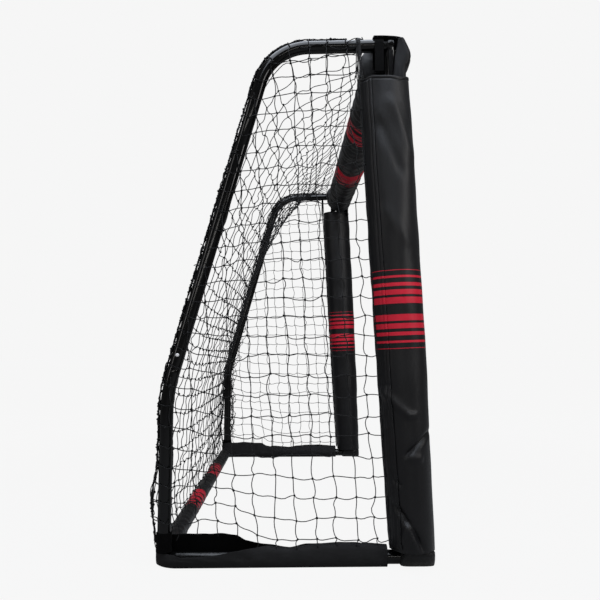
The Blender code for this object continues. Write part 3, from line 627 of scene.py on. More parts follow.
def drill(piece, middle, direction, radius):
    """Cuts a round hole through one wall and keeps no trace of the cutter."""
    bpy.ops.mesh.primitive_cylinder_add(vertices=32, radius=radius, depth=0.02)
    bit = bpy.context.active_object
    bit.location = Vector(middle) + Vector(direction) * (TUBE_R + 0.002)
    bit.rotation_euler = Vector(direction).to_track_quat("Z", "Y").to_euler()
    hole = piece.modifiers.new("hole", "BOOLEAN")
    hole.operation = "DIFFERENCE"
    hole.solver = "EXACT"
    hole.object = bit
    bpy.context.view_layer.objects.active = piece
    bpy.ops.object.modifier_apply(modifier="hole")
    bpy.data.objects.remove(bit, do_unlink=True)
    piece.data.set_sharp_from_angle(angle=SHARP)


post_up = np.array([0, math.sin(POST_LEAN), math.cos(POST_LEAN)])
top_back = np.array([0, math.cos(TOP_FALL), -math.sin(TOP_FALL)])
stay_up = np.array([0, -math.sin(STAY_SLANT), math.cos(STAY_SLANT)])
upper_seam = ELBOW - stay_up * ELBOW_DROP
lower_seam = KNEE + stay_up * SEAM_FROM_KNEE
button_at = KNEE + stay_up * (SEAM_FROM_KNEE + BUTTON_FROM_SEAM)
for side, sign in SIDES:
    x = sign * HALF
    pipe("top_tube_" + side, join_path(CORNER + top_back * HUB, elbow_arc), upper_seam, -stay_up, x)
    stay = pipe("stay_tube_" + side, join_path(upper_seam, lower_seam), x=x)
    foot = [0, STAY_Y, BASE_Z + TUBE_R + GAP]
    lower = pipe("lower_stay_tube_" + side, join_path(foot, knee_arc[::-1]), lower_seam, stay_up, x)
    for tube in (stay, lower):
        drill(tube, button_at + [x, 0, 0], (sign, 0, 0), BUTTON_HOLE)
    foot = np.array([0, POST_FOOT_Y, BASE_Z]) + post_up * (TUBE_R * (1 + math.sin(POST_LEAN)) + GAP)
    split = np.array([0, post_y(POST_SPLIT), POST_SPLIT])
    pipe("post_tube_lower_" + side, [foot, (foot + split) / 2], split, post_up, x)
    pipe("post_tube_upper_" + side, [split, CORNER - post_up * HUB], x=x)
    front = [0, POST_FOOT_Y - 0.014, BASE_Z]
    rear = [0, REAR_Y, BASE_Z]
    tail = [-sign * REAR_TAIL, REAR_Y, BASE_Z]
    ground_line = join_path(front, arc(front, rear, tail, REAR_BEND, 12))
    pipe("base_tube_" + side, ground_line, tail, (-sign, 0, 0), x, (0, 0, 1))
BARS = (("crossbar", CORNER_Y, CORNER_Z, HALF - HUB), ("rear_bar", REAR_Y, BASE_Z, HALF - REAR_TAIL))
for name, y, z, end in BARS:
    line = np.array([[-end, y, z], [-end / 2, y, z]])
    pipe(name + "_tube_left", line, [0, y, z], (1, 0, 0), plane=(0, 0, 1))
    pipe(name + "_tube_right", [[0, y, z], [end, y, z]], plane=(0, 0, 1))
print("tubes laid over the frame")

# %% [markdown]
# The small hard parts are shown as the CAD model has them, in their own finishes. When a button
# is pressed, its leaf spring has to flatten by as much; here each spring only gets its own mesh.
# %% Hardware
HARDWARE = {
    "corner_joint_": paint_look,
    "post_socket_": paint_look,
    "stay_socket_": paint_look,
    "corner_bolt_": paint_look,
    # The snap button's pale finish is a painted highlight.
    "snap_button_": button_glint_look,
    "button_spring_": zinc_look,
}
for side, sign in SIDES:
    for name, look in HARDWARE.items():
        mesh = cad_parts[name + side].data
        mesh.materials.clear()
        mesh.materials.append(look)
    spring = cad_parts["button_spring_" + side]
    across = np.array([vertex.co.x for vertex in spring.data.vertices]) * sign
    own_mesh(spring)

# %% [markdown]
# A sleeve is a loose cloth tube, so it hangs by what carries it and creases where it is slack.
# Each crease here is a line on the cloth with a height: the distance from the line gives a
# round ridge or valley, which fades towards the line's ends. Gentle waves fill the rest.
# %% Cloth helpers
CLOTH_THICK = 0.0012


def crease(u, v, start, end, width, height, bow=0.0):
    """Ridge along a line: height * exp(-(distance / width) squared), faded at both ends."""
    start, end = np.asarray(start, float), np.asarray(end, float)
    run = end - start
    length = np.hypot(*run)
    along = ((u - start[0]) * run[0] + (v - start[1]) * run[1]) / length**2
    off = ((u - start[0]) * run[1] - (v - start[1]) * run[0]) / length
    off = off - bow * 4 * along * (1 - along)
    fade = blend_step(along, -0.12, 0.18) * (1 - blend_step(along, 0.82, 1.12))
    return height * np.exp(-((off / width) ** 2)) * fade


def ripples(u, v, seed, height, lengths, turn=(0, math.pi), count=14):
    """Sum of sines with seeded directions, lengths and phases."""
    dice = np.random.default_rng(seed)
    total = np.zeros_like(u)
    for _ in range(count):
        angle = dice.uniform(*turn)
        length = dice.uniform(*lengths)
        phase = dice.uniform(0, 2 * math.pi)
        weight = dice.uniform(0.5, 1.0)
        run = u * math.cos(angle) + v * math.sin(angle)
        total += weight * np.sin(2 * math.pi * run / length + phase)
    return height * total / math.sqrt(count)


def run_along(points, axis):
    """Distance from the first point of each row (axis 1) or column (axis 0), in metres."""
    steps = np.linalg.norm(np.diff(points, axis=axis), axis=-1)
    return np.insert(np.cumsum(steps, axis), 0, 0, axis)


def write_map(piece, corners):
    """UV map from the (n, 2) places of the first n face corners; the rest stay at 0."""
    flat = np.zeros((len(piece.data.loops), 2), np.float32)
    flat[: len(corners)] = corners
    piece.data.uv_layers.new(name="UVMap").data.foreach_set("uv", flat.ravel())


def cell_corners(rows, columns):
    """Row and column numbers of the four corners of every cell."""
    r, c = np.arange(rows)[:, None], np.arange(columns)[None]
    return [(r, c), (r, c + 1), (r + 1, c + 1), (r + 1, c)]


def finish_cloth(piece, u, v, look):
    """Maps a sheet's outer and inner face by its own threads and gives it its look."""
    corners = cell_corners(u.shape[0] - 1, u.shape[1] - 1)
    flat = np.stack([np.stack([u[k], v[k]], -1) for k in corners], 2).reshape(-1, 4, 2)
    write_map(piece, np.concatenate([flat, flat[:, ::-1]]).reshape(-1, 2))
    piece.data.materials.append(look)
    return piece


def wrapped_cloth(name, grid, look):
    """Cloth tube from a grid of points that goes round with its columns."""
    u = run_along(grid, 1)
    u = np.concatenate([u, 2 * u[:, -1:] - u[:, -2:-1]], 1)
    middle = grid.mean(1)
    v = np.broadcast_to(np.linalg.norm(middle - middle[0], axis=1)[:, None], u.shape)
    piece = cloth_piece(name, grid, CLOTH_THICK, wrap_columns=True)
    return finish_cloth(piece, u, v, look)


def flat_sheet(name, grid, thick, look):
    """Open sheet with a wall, mapped along its rows and columns."""
    piece = cloth_piece(name, grid, thick)
    return finish_cloth(piece, run_along(grid, 1), run_along(grid, 0), look)


def wrap_grid(places, columns):
    """Grids of the places along a tube and of the angle round it."""
    turn = np.linspace(0, 2 * math.pi, columns, endpoint=False)
    return np.meshgrid(places, turn, indexing="ij")


def soft_tube(name, centre, axis_a, axis_b, size_a, size_b, lift, look):
    """Cloth tube: centre + (size_a + lift) * cos * a + (size_b + lift) * sin * b.

    centre is a line of points, and lift a grid of heights in metres along and round it.
    """
    turn = np.linspace(0, 2 * math.pi, lift.shape[1], endpoint=False)[None, :, None]
    lift = lift[..., None]
    ring = (size_a + lift) * np.cos(turn) * axis_a + (size_b + lift) * np.sin(turn) * axis_b
    return wrapped_cloth(name, centre[:, None] + ring, look)


def groove(x, middle, width):
    """Rounded line of unit depth: exp(-((x - middle) / width) squared)."""
    return np.exp(-(((x - middle) / width) ** 2))


# %% [markdown]
# The post sleeve is about 0.29 m round. It hangs from the hood and leans on the net's edge, so
# it sits further behind the post at the top than at the foot. Each crease is placed where the
# cloth folds on the real goal: a few short dents, two valleys above the boot, long faint
# diagonals near the top.
# %% Post sleeves
SLEEVE_FOOT = 0.0303
SLEEVE_TOP = CORNER_Z - 0.0720
SLEEVE_LENGTH = SLEEVE_TOP - SLEEVE_FOOT
SLEEVE_R = 0.0455
SLEEVE_DEPTHS = (0.0830, 0.0967, 0.0995)
SLEEVE_SHIFTS = (-0.0028, 0.0052, 0.0156)


def along_sleeve(z, sizes):
    """Smooth curve through a size at the sleeve's foot, middle and top."""
    low, middle, high = sizes
    t = (z - SLEEVE_FOOT) / SLEEVE_LENGTH
    bulge = middle - (low + high) / 2
    return low * (1 - t) + high * t + 4 * bulge * t * (1 - t)


def sleeve_y(z):
    """Depth of the sleeve's middle line, which lies behind the post's."""
    return post_y(z) + along_sleeve(z, SLEEVE_SHIFTS)


def sleeve_axes(z):
    """Half depth and half width of the sleeve, whose girth is the same at every height."""
    depth = along_sleeve(z, SLEEVE_DEPTHS) / 2
    return depth, np.sqrt(2 * SLEEVE_R**2 - depth**2)


# Each crease: start and end as (y, z), width, height and bow. A negative height is a valley.
POST_CREASES = (
    ((-0.170, 0.340), (-0.222, 0.287), 0.0070, 0.0044, -0.003),
    ((-0.212, 0.289), (-0.234, 0.292), 0.0045, 0.0030, 0),
    ((-0.210, 0.214), (-0.262, 0.257), 0.0048, -0.0070, 0.002),
    ((-0.214, 0.212), (-0.242, 0.208), 0.0070, 0.0032, 0),
    ((-0.188, 0.170), (-0.202, 0.158), 0.0040, -0.0026, 0),
    ((-0.192, 0.120), (-0.240, 0.036), 0.0052, -0.0074, 0.003),
    ((-0.200, 0.046), (-0.214, 0.088), 0.0060, 0.0038, 0),
    ((-0.214, 0.088), (-0.226, 0.042), 0.0055, 0.0040, 0),
    ((-0.19, 0.93), (-0.235, 0.80), 0.012, 0.0030, 0),
    ((-0.165, 0.88), (-0.215, 0.76), 0.011, -0.0028, 0),
    ((-0.170, 0.70), (-0.225, 0.62), 0.012, 0.0018, 0),
)


def post_creases(y, z):
    """Heights of the creases over the sleeve's outer side, in metres."""
    heights = ripples(y, z, 5, 0.0007, (0.05, 0.14))
    heights += ripples(y, z, 6, 0.0008, (0.05, 0.10), (-0.25, 0.25))
    for line in POST_CREASES:
        heights += crease(y, z, *line)
    return heights


def rim_drop(z, turn):
    """How far the cloth lies below its place: the outer top edge sinks, the outer foot rides up."""
    outer = blend_step(np.sin(turn), -0.3, 0.7)
    near_top = blend_step(z, SLEEVE_TOP - 0.13, SLEEVE_TOP)
    rise = 0.0035 * groove(np.cos(turn), 0.62, 0.25)
    rise = rise + 0.0080 * blend_step(-np.cos(turn), 0.5, 0.95)
    sunk = (0.0135 - rise) * outer * near_top
    return sunk - 0.0045 * outer * (1 - blend_step(z, SLEEVE_FOOT, SLEEVE_FOOT + 0.09))


def rim_fold(z):
    """Turned-in edge at the sleeve's top: a low welt and the seam under it."""
    down = SLEEVE_TOP - z
    return 0.0007 * (1 - blend_step(down, 0.003, 0.0045)) - 0.0009 * groove(down, 0.0062, 0.0014)


def sleeve_skin(sign, z, turn):
    """Points on the post sleeve and the outward directions there, creases included."""
    z_grid, turn_grid = np.meshgrid(z, turn, indexing="ij")
    depth, width = sleeve_axes(z_grid)
    y = sleeve_y(z_grid) + depth * np.cos(turn_grid)
    outer_share = blend_step(np.sin(turn_grid), -0.2, 0.5)
    lift = post_creases(y, z_grid) * outer_share + rim_fold(z_grid)
    lift += ripples(y, z_grid, 9 + sign, 0.0011, (0.06, 0.16)) * (1 - outer_share)
    out = np.stack([sign * np.sin(turn_grid), np.cos(turn_grid), np.zeros_like(y)], -1)
    height = z_grid - rim_drop(z_grid, turn_grid)
    skin = np.stack([sign * HALF + sign * width * np.sin(turn_grid), y, height], -1)
    return skin + out * lift[..., None], out


body_z = np.linspace(SLEEVE_FOOT, SLEEVE_TOP - 0.016, 300)
sleeve_z = np.concatenate([body_z, np.linspace(SLEEVE_TOP - 0.015, SLEEVE_TOP, 22)])
sleeve_turn = np.linspace(0, 2 * math.pi, 120, endpoint=False)
for side, sign in SIDES:
    skin, _ = sleeve_skin(sign, sleeve_z, sleeve_turn)
    sleeve = wrapped_cloth("post_sleeve_cloth_" + side, skin[:, ::sign], post_cloth)
    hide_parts("post_sleeve_" + side)

# %% [markdown]
# Behind each sleeve runs its closure, a doubled strip of the same cloth that laps over the
# sleeve's edge from the rear to the outer side. It repeats the sleeve's own surface a little
# further out, so the two never touch. Its front edge is folded in and sewn down, and near the
# foot it is held by sewn squares.
# %% Closures
CLOSURE_TURN = math.radians(52)
CLOSURE_LIFT = 0.0024
STITCHES = (0.262, 0.30, 0.345)
share = np.linspace(0, 1, 34)
z = sleeve_z[2:-8]
fold = 0.0008 * groove(share, 0.93, 0.05) - 0.0007 * groove(share, 0.84, 0.022)
fold = fold - 0.0004 * groove(share, 0.6, 0.02)
sewn = (z > STITCHES[0]) & (z < STITCHES[-1])
square = 0.0006 * sewn[:, None] * blend_step(share, 0.45, 0.5)
stitched = sum(groove(z, level, 0.0025) for level in STITCHES)
height = fold + square - 0.0009 * stitched[:, None] * blend_step(share, 0.42, 0.5)
for side, sign in SIDES:
    skin, out = sleeve_skin(sign, z, CLOSURE_TURN * share)
    strip = skin + out * (CLOSURE_LIFT + height)[..., None]
    strip = strip[:, ::sign]
    closure = flat_sheet("closure_cloth_" + side, strip, CLOTH_THICK, post_cloth)
    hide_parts("post_closure_" + side)
print("closures turned through", round(math.degrees(CLOSURE_TURN)), "degrees of the sleeves")

# %% [markdown]
# The crossbar's sleeve hangs from the bar by its own weight: round at the top where it rests,
# slack below, with deep creases across it, and a flap that stands out at its upper rear near
# each end. The ends are drawn in round the bar in small pleats.
# %% Crossbar sleeve
BAR_SLEEVE_R = 0.0455
BAR_HALF_DEPTH, BAR_HALF_HEIGHT = 0.0445, 0.0450
BAR_SLEEVE_REAR = 0.006
BAR_SLEEVE_Y = CORNER_Y + BAR_SLEEVE_REAR
bar_inside = (BAR_SLEEVE_R - 0.002) * math.cos(math.pi / 24)
BAR_SLEEVE_Z = CORNER_Z - math.sqrt((bar_inside - TUBE_R - GAP) ** 2 - BAR_SLEEVE_REAR**2)
HOOD_INNER = 0.042
BAR_REACH = HALF - HOOD_INNER - GAP
NECK_R = TUBE_R + 0.0040
FOLD_LIMIT = 0.0055
FLAP_HEIGHT = 0.0125
x = BAR_REACH * np.sin(np.linspace(-math.pi / 2, math.pi / 2, 460))
x_grid, turn_grid = wrap_grid(x, 110)
around = turn_grid * BAR_SLEEVE_R
slack = 0.5 - 0.5 * np.sin(turn_grid)
folds = ripples(x_grid, around, 21, 0.0030, (0.05, 0.14), (-0.6, 0.6), 18) * (0.1 + 0.9 * slack)
folds += ripples(x_grid, around, 22, 0.0017, (0.022, 0.05), (-0.9, 0.9), 18) * (0.05 + 0.95 * slack)
centre = x[:, None] * [1, 0, 0] + [0, BAR_SLEEVE_Y, BAR_SLEEVE_Z]
folds = np.minimum(folds, FOLD_LIMIT)
way = np.stack([np.zeros_like(turn_grid), -np.cos(turn_grid), np.sin(turn_grid)], -1)
off_middle = np.abs(x_grid)
flap = blend_step(off_middle, BAR_REACH - 0.10, BAR_REACH - 0.02) * blend_step(way[..., 1], 0, 0.1)
flap = flap * np.maximum(np.sin(2 * turn_grid - math.pi), 0) * FLAP_HEIGHT
half_axes = [0, BAR_HALF_DEPTH, BAR_HALF_HEIGHT]
grid = centre[:, None] + way * half_axes + way * (folds + flap)[..., None]
drawn = blend_step(off_middle, BAR_REACH - 0.009, BAR_REACH)
from_bar = (grid - [0, CORNER_Y, CORNER_Z]) * [0, 1, 1]
far = np.linalg.norm(from_bar, axis=-1)
neck = NECK_R + np.maximum(far - NECK_R, 0) * 0.06
pleats = 0.0016 * np.sin(11 * turn_grid + 2 * np.sin(3 * turn_grid)) * np.sin(math.pi * drawn)
grid = grid + unit(from_bar) * (pleats - np.maximum(far - neck, 0) * drawn)[..., None]
bar_sleeve = wrapped_cloth("crossbar_sleeve_cloth", grid, bar_cloth)
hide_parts("crossbar_sleeve")
2 * BAR_REACH
print("crossbar sleeve reaches", round(BAR_REACH, 4), "m each way")

# %% [markdown]
# The rear bar's sleeve is snug. It is stretched round the tube and lies on the ground, so only
# its upper side is creased.
# %% Rear bar sleeve
REAR_SLEEVE_R = 0.0185
REAR_SLEEVE_Z = 0.0182
REAR_REACH = HALF - 0.045
x = np.linspace(-REAR_REACH, REAR_REACH, 420)
x_grid, turn_grid = wrap_grid(x, 64)
around = turn_grid * REAR_SLEEVE_R
folds = ripples(x_grid, around, 31, 0.0008, (0.02, 0.07), (-0.9, 0.9), 18)
folds = folds * blend_step(np.sin(turn_grid), -0.9, -0.3)
centre = x[:, None] * [1, 0, 0] + [0, REAR_Y, REAR_SLEEVE_Z]
to_front, upwards = np.array([0, -1, 0]), np.array([0, 0, 1])
rear_sleeve = soft_tube(
    "rear_sleeve_cloth", centre, to_front, upwards, 0.0180, 0.0172, folds, rear_cloth
)
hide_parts("rear_sleeve")
print("rear sleeve reaches", round(REAR_REACH, 4), "m each way")

# %% [markdown]
# A hood covers each corner: a band of cloth that starts behind the bar, goes over the corner
# and down the front, and a cheek that closes its outer front. The band is one curved sheet,
# drawn as a line in the side view that is carried across the goal and droops at its free edge.
# %% Corner hoods
def smooth_line(points, count):
    """Even points on a Catmull-Rom curve through the given ones.

    Between b and c, with a before and d after them, the curve is half of
    2b + (c - a) t + (2a - 5b + 4c - d) t squared + (3b - a - 3c + d) t cubed.
    """
    p = np.asarray(points, float)
    p = np.concatenate([[2 * p[0] - p[1]], p, [2 * p[-1] - p[-2]]])
    t = np.linspace(0, 1, 24)[:-1, None]
    a, b, c, d = (p[k : len(p) - 3 + k, None] for k in range(4))
    fine = 2 * b + (c - a) * t + (2 * a - 5 * b + 4 * c - d) * t**2 + (3 * b - a - 3 * c + d) * t**3
    fine = np.concatenate([0.5 * fine.reshape(-1, p.shape[1]), p[-2:-1]])
    run = run_along(fine, 0)
    even = np.linspace(0, run[-1], count)
    return np.stack([np.interp(even, run, fine[:, k]) for k in range(fine.shape[1])], -1)


HOOD_FOOT = SLEEVE_TOP - 0.0150
HOOD_OUTER = 0.0145
HOOD_WIDTH = HOOD_INNER + HOOD_OUTER
HOOD_FREE = 0.0030
HOOD_ROWS = 80
CHEEK_FROM = 30
hood_edge = smooth_line(
    [
        (-0.1634, 1.0650), (-0.1860, 1.0654), (-0.2115, 1.0640), (-0.2240, 1.0600), (-0.2305, 1.0495),
        (-0.2352, 1.0380), (-0.2388, 1.0250), (-0.2392, 1.0175), (-0.2352, 1.0070), (-0.2303, 1.0000),
        (-0.2292, 0.9920), (-0.2290, 0.9800), (-0.2290, HOOD_FOOT),
    ],
    HOOD_ROWS,
)
along_edge = np.gradient(hood_edge, axis=0)
edge_out = unit(np.stack([along_edge[:, 1], -along_edge[:, 0]], -1))
edge_out *= np.sign(edge_out[20, 1])
down, share = np.meshgrid(np.linspace(0, 1, HOOD_ROWS), np.linspace(0, 1, 48), indexing="ij")
free = HOOD_FREE * (1 - blend_step(share, 0.70, 1.0))
dented = blend_step(down, 0.35, 0.6) * (1 - blend_step(down, 0.9, 1.0))
across = np.linspace(0, 1, 16)[:, None]
swell = 0.0040 * np.sin(math.pi * across**0.75) - 0.0008
for side, sign in SIDES:
    lift = free + dented * ripples(share * 0.06, down * 0.15, 41 + sign, 0.0007, (0.02, 0.06))
    place = sign * (HALF - HOOD_INNER + HOOD_WIDTH * share)
    flat = hood_edge[:, None] + edge_out[:, None] * lift[..., None]
    band = np.concatenate([place[..., None], flat], -1)
    hood = flat_sheet("hood_band_" + side, band[:, ::-sign], 0.0014, hood_cloth)
    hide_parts("corner_hood_" + side)
    front = band[CHEEK_FROM:, -1]
    rear_line = front.copy()
    rear_line[:, 1] = np.interp(front[:, 2], [0.9788, 1.0173, 1.0584], [-0.2035, -0.2065, -0.2150])
    cheek = front[:, None] * (1 - across) + rear_line[:, None] * across + swell * [sign, 0, 0]
    panel = flat_sheet("hood_cheek_" + side, cheek[:, ::sign], CLOTH_THICK, hood_cloth)
    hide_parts("corner_hood_" + side)
print("hoods: a band and a cheek at each corner")

# %% [markdown]
# Beside each hood a webbing tab is folded over the top tube, with a long outer leg and a short
# inner one. Its section is one line, up the outer leg, round the tube and down the inner leg.
# %% Strap tabs
TAB_FRONT = -0.1842
TAB_WIDTH = 0.0190
TAB_R = TUBE_R + 0.0012
fold = np.linspace(0, math.pi, 17)
section = [(TAB_R, -0.0625), (TAB_R + 0.0006, -0.040), (TAB_R, -0.015)]
section += [(TAB_R * math.cos(a), TAB_R * math.sin(a)) for a in fold]
section += [(-TAB_R, -0.015), (-TAB_R - 0.0005, -0.03), (-TAB_R, -0.045)]
section = smooth_line(section, 70)
y = np.linspace(TAB_FRONT, TAB_FRONT + TAB_WIDTH, 12)
tube_z = CORNER_Z - (y - CORNER_Y) * math.tan(TOP_FALL)
for side, sign in SIDES:
    places = np.broadcast_arrays(sign * (HALF + section[:, :1]), y, tube_z + section[:, 1:])
    tab_grid = np.stack(places, -1)[:, ::sign]
    tab = flat_sheet("strap_tab_" + side, tab_grid, CLOTH_THICK, strap_look)
    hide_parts("corner_tab_" + side)
print("tabs", TAB_WIDTH, "m wide")

# %% [markdown]
# The boot under each post is a small soft bag: round corners, a flat sole, and a mouth drawn
# in round the post. Rings of a rounded rectangle are stacked from the sole to the mouth. The
# lower rings are narrower across, because the cloth is pulled in under the foot.
# %% Boots
BOOT_SIDES = 96
BOOT_FRONT, BOOT_REAR = POST_FOOT_Y - 0.0440, POST_FOOT_Y + 0.0225
BOOT_HALF_X = 0.0410
# Each ring: share of the boot's size, share of its width, height, and power of its corners.
BOOT_RINGS = (
    (0.00, 0.10, 0.0, 0.5), (0.55, 0.15, 0.0, 0.5), (0.93, 0.24, 0.0, 0.5), (0.985, 0.36, 0.0015, 0.5),
    (1.0, 0.54, 0.006, 0.5), (0.99, 0.79, 0.014, 0.5), (0.975, 0.94, 0.022, 0.5),
    (0.955, 1.0, 0.0275, 0.5), (0.90, 1.0, 0.0298, 0.52), (0.78, 1.0, 0.0300, 0.6),
)
# Each ring round the post: how far it stands off the tube's centre, and its height.
BOOT_MOUTH = ((TUBE_R + 0.0018, 0.0296), (TUBE_R + 0.0008, 0.0270), (0.0002, 0.0262))
boot_turn = np.linspace(0, 2 * math.pi, BOOT_SIDES, endpoint=False)


def rounded_ring(x, y, half_x, half_y, corner, z):
    """Ring of a rounded rectangle: a power of cosine and sine sets its corners."""
    c, s = np.cos(boot_turn), np.sin(boot_turn)
    px = np.sign(c) * np.abs(c) ** corner * half_x
    py = np.sign(s) * np.abs(s) ** corner * half_y
    return np.stack([x + px, y + py, np.full_like(px, z)], -1)


for side, sign in SIDES:
    x = sign * HALF
    middle, half_y = (BOOT_FRONT + BOOT_REAR) / 2, (BOOT_REAR - BOOT_FRONT) / 2
    rings = [
        rounded_ring(x, middle, BOOT_HALF_X * size * width + 0.0002, half_y * size + 0.0002, corner, z)
        for size, width, z, corner in BOOT_RINGS
    ]
    rings += [rounded_ring(x, POST_FOOT_Y, r, r, 1.0, z) for r, z in BOOT_MOUTH]
    stack = np.stack(rings)
    body = stack[: len(BOOT_RINGS)]
    outer = blend_step(sign * (body[..., 0] - x), 0.004, 0.034)
    body[..., 2] += 0.0050 * outer * blend_step(body[..., 2], 0.004, 0.026)
    dent = ripples(np.sin(boot_turn) * 0.05, np.cos(boot_turn) * 0.05, 51 + sign, 0.0012, (0.02, 0.05))
    stack[4:8, :, :2] += (stack[4:8, :, :2] - [x, middle]) * (dent[:, None] * 12)
    sole = np.arange(BOOT_SIDES)[None]
    seat = sole + (len(stack) - 1) * BOOT_SIDES
    faces = [grid_faces(len(stack), BOOT_SIDES, wrap_columns=True), sole[:, ::-1], seat]
    boot = mesh_piece("boot_cloth_" + side, stack.reshape(-1, 3), faces)
    boot.data.uv_layers.new(name="UVMap")
    boot.data.materials.append(plain_cloth)
    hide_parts("foot_boot_" + side)
print("boots", round(BOOT_REAR - BOOT_FRONT, 4), "m long")

# %% [markdown]
# The net's foot is sewn into a hem, one long strip of webbing that wraps the base tube. In
# front it closes over the tube like a sock. At the rear it hangs open: its outer edge drops
# below the tube's top, and its inner edge stands up to where the net is sewn to it. The strip
# is a smooth sheet through eight lines, each given by its place at the front and at the rear.
# Its outer line follows the tube's rear bend. Its inner face is drawn in the darker webbing as
# painted shade for the shade inside the wrap.
# %% Hems
HEM_FRONT = -0.1776
HEM_REAR = 0.2665
HEM_ROWS = 200
HEM_COLUMNS = 72
# Heights along the goal's depth: the sewn edge, and the outer edge where the hem hangs open.
HEM_TOP = (
    (-0.178, 0.0395), (-0.137, 0.0420), (-0.089, 0.0435), (-0.039, 0.0415), (0.009, 0.0350),
    (0.047, 0.0380), (0.080, 0.0410), (0.0965, 0.0450), (0.112, 0.0543), (0.174, 0.0576), (0.255, 0.055),
)
HEM_OUTER_EDGE = (
    (0.0, 0.036), (0.0469, 0.0395), (0.098, 0.0345), (0.167, 0.0235), (0.217, 0.0215),
    (0.233, 0.0275), (0.262, 0.0305),
)


def follow(places, table):
    """Straight lines through a table of (place, height) pairs."""
    return np.interp(places, *zip(*table))


def hem_top(y):
    """Height of the hem's sewn edge along the goal's depth."""
    return follow(y, HEM_TOP)


def curve_grid(lines, count):
    """Smooth curve through each row's control points: lines is (rows, controls, 3)."""
    basis = smooth_line(np.eye(lines.shape[1]), count)
    return np.einsum("kc,rcd->rkd", basis, lines)


def follow_bend(y):
    """How far the hem's outer line turns inwards as it follows the base tube's rear bend."""
    past = np.clip(y - (REAR_Y - REAR_BEND), 0, None)
    outer = REAR_BEND + 0.0195
    return outer - np.sqrt(np.maximum(outer**2 - past**2, 0))


y = np.linspace(HEM_FRONT, HEM_REAR, HEM_ROWS)
y_grid, s_grid = np.meshgrid(y, np.linspace(0, 1, HEM_COLUMNS), indexing="ij")
top, low, rear = hem_top(y), follow(y, HEM_OUTER_EDGE), blend_step(y, 0.02, 0.11)
# Each line of the strip, from its outer edge to its inner one: place across and height.
hem_lines = (
    (0.0040 + 0.0125 * rear, top * (1 - rear) + low * rear),
    (0.0140 + 0.0030 * rear, (top * 0.6 + 0.0105) * (1 - rear) + (low * 0.5 + 0.0065) * rear),
    (0.0164, 0.0125),
    (0.0090, 0.0010),
    (-0.0105, 0.0009),
    (-0.0172, 0.0125),
    (-0.0150 - 0.0010 * rear, 0.0270 + 0.004 * rear),
    (-0.0020 - 0.0110 * rear, top - 0.0015 * (1 - rear)),
)
for side, sign in SIDES:
    x = sign * HALF
    lines = [
        np.stack(np.broadcast_arrays(x + sign * (across - follow_bend(y)), y, up), -1)
        for across, up in hem_lines
    ]
    grid = curve_grid(np.stack(lines, 1), HEM_COLUMNS)
    soft = ripples(y_grid, s_grid * 0.11, 61 + sign, 0.0010, (0.025, 0.08))
    way = grid - np.array([x, 0, BASE_Z])
    way[..., 1] = 0
    grid = grid + unit(way) * (soft * blend_step(grid[..., 2], 0.004, 0.02))[..., None]
    grid[..., 2] = np.maximum(grid[..., 2], 0.0003)
    wrap = flat_sheet("hem_wrap_" + side, grid[:, ::-sign], 0.0013, hem_look)
    # Faces towards the tube take the darker webbing: painted shade for the shade inside the wrap.
    painted_shade_faces = np.zeros(len(wrap.data.polygons), np.int32)
    painted_shade_faces[: (HEM_ROWS - 1) * (HEM_COLUMNS - 1)] = 1
    wrap.data.materials.append(strap_look)
    wrap.data.polygons.foreach_set("material_index", painted_shade_faces)
    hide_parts("base_hem_" + side)
print("hems", round(HEM_REAR - HEM_FRONT, 4), "m long")

# %% [markdown]
# A cuff of the same webbing is wrapped round the foot of each stay, where the net's lower
# corner is tied to it.
# %% Cuffs
CUFF_R = 0.0150
CUFF_TOP = 0.0645
z = np.linspace(BASE_Z + TUBE_R + GAP, CUFF_TOP, 30)
z_grid, turn_grid = wrap_grid(z, 48)
for side, sign in SIDES:
    soft = ripples(turn_grid * CUFF_R, z_grid, 81 + sign, 0.0005, (0.015, 0.04))
    centre = z[:, None] * [0, 0, 1] + [sign * HALF, STAY_Y, 0]
    to_rear, outwards = np.array([0, 1, 0]), np.array([sign, 0, 0])
    cuff = soft_tube("cuff_cloth_" + side, centre, to_rear, outwards, CUFF_R, CUFF_R, soft, strap_look)
    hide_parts("stay_cuff_" + side)
print("cloth pieces made")

# %% [markdown]
# The net is knotted from thin black twine with a square mesh of 39 mm. It is hung outside the
# frame: each side panel reaches from the sleeve to the stay, laps over the tube and goes on as
# the top and the back. It could be simulated as cloth, but a net is only knots and cords. So
# the knots are points, and the cords are tubes run through them.
# %% Net helpers
MESH = 0.0388
CORD_R = 0.00095
CORD_SIDES = 5
CORD_STEPS = 5
CORD_LOWEST = 0.0030
KNOT_LOWEST = 0.0040
KNOT_SIZE = 2.7
NET_X = HALF + TUBE_R + CORD_R + 0.0002

SHORT, LONG = 0.526, 0.851
SIGNS = [(s * SHORT, t * LONG) for s in (-1, 1) for t in (-1, 1)]
icosahedron = np.array(
    [(s, t, 0) for s, t in SIGNS] + [(0, s, t) for s, t in SIGNS] + [(t, 0, s) for s, t in SIGNS]
)


def hull_faces(points):
    """Faces of a small convex solid: triples of points with all others on one side."""
    i, j, k = np.indices([len(points)] * 3)
    keep = (i < j) & (i < k) & (j != k)
    trio = np.stack([i[keep], j[keep], k[keep]], -1)
    a, b, c = (points[trio[:, m]] for m in range(3))
    normal = np.cross(b - a, c - a)
    side = (points[None] - a[:, None]) @ normal[:, :, None]
    return trio[(side[..., 0] < 1e-6).all(1)]


knot_faces = hull_faces(icosahedron)


def loose_cord(knots, dice, bow, snake, droop=0.0):
    """Line through knots: between two it bows and snakes by seeded vectors, and droops."""
    bows = dice.normal(0, bow, (len(knots) - 1, 1, 3)) - [0, 0, droop]
    kinks = dice.normal(0, snake, bows.shape)
    t = np.arange(CORD_STEPS)[:, None] / CORD_STEPS
    start, end = knots[:-1, None], knots[1:, None]
    line = start + (end - start) * t + 4 * t * (1 - t) * bows + np.sin(2 * math.pi * t) * kinks
    return np.concatenate([line.reshape(-1, 3), knots[-1:]])


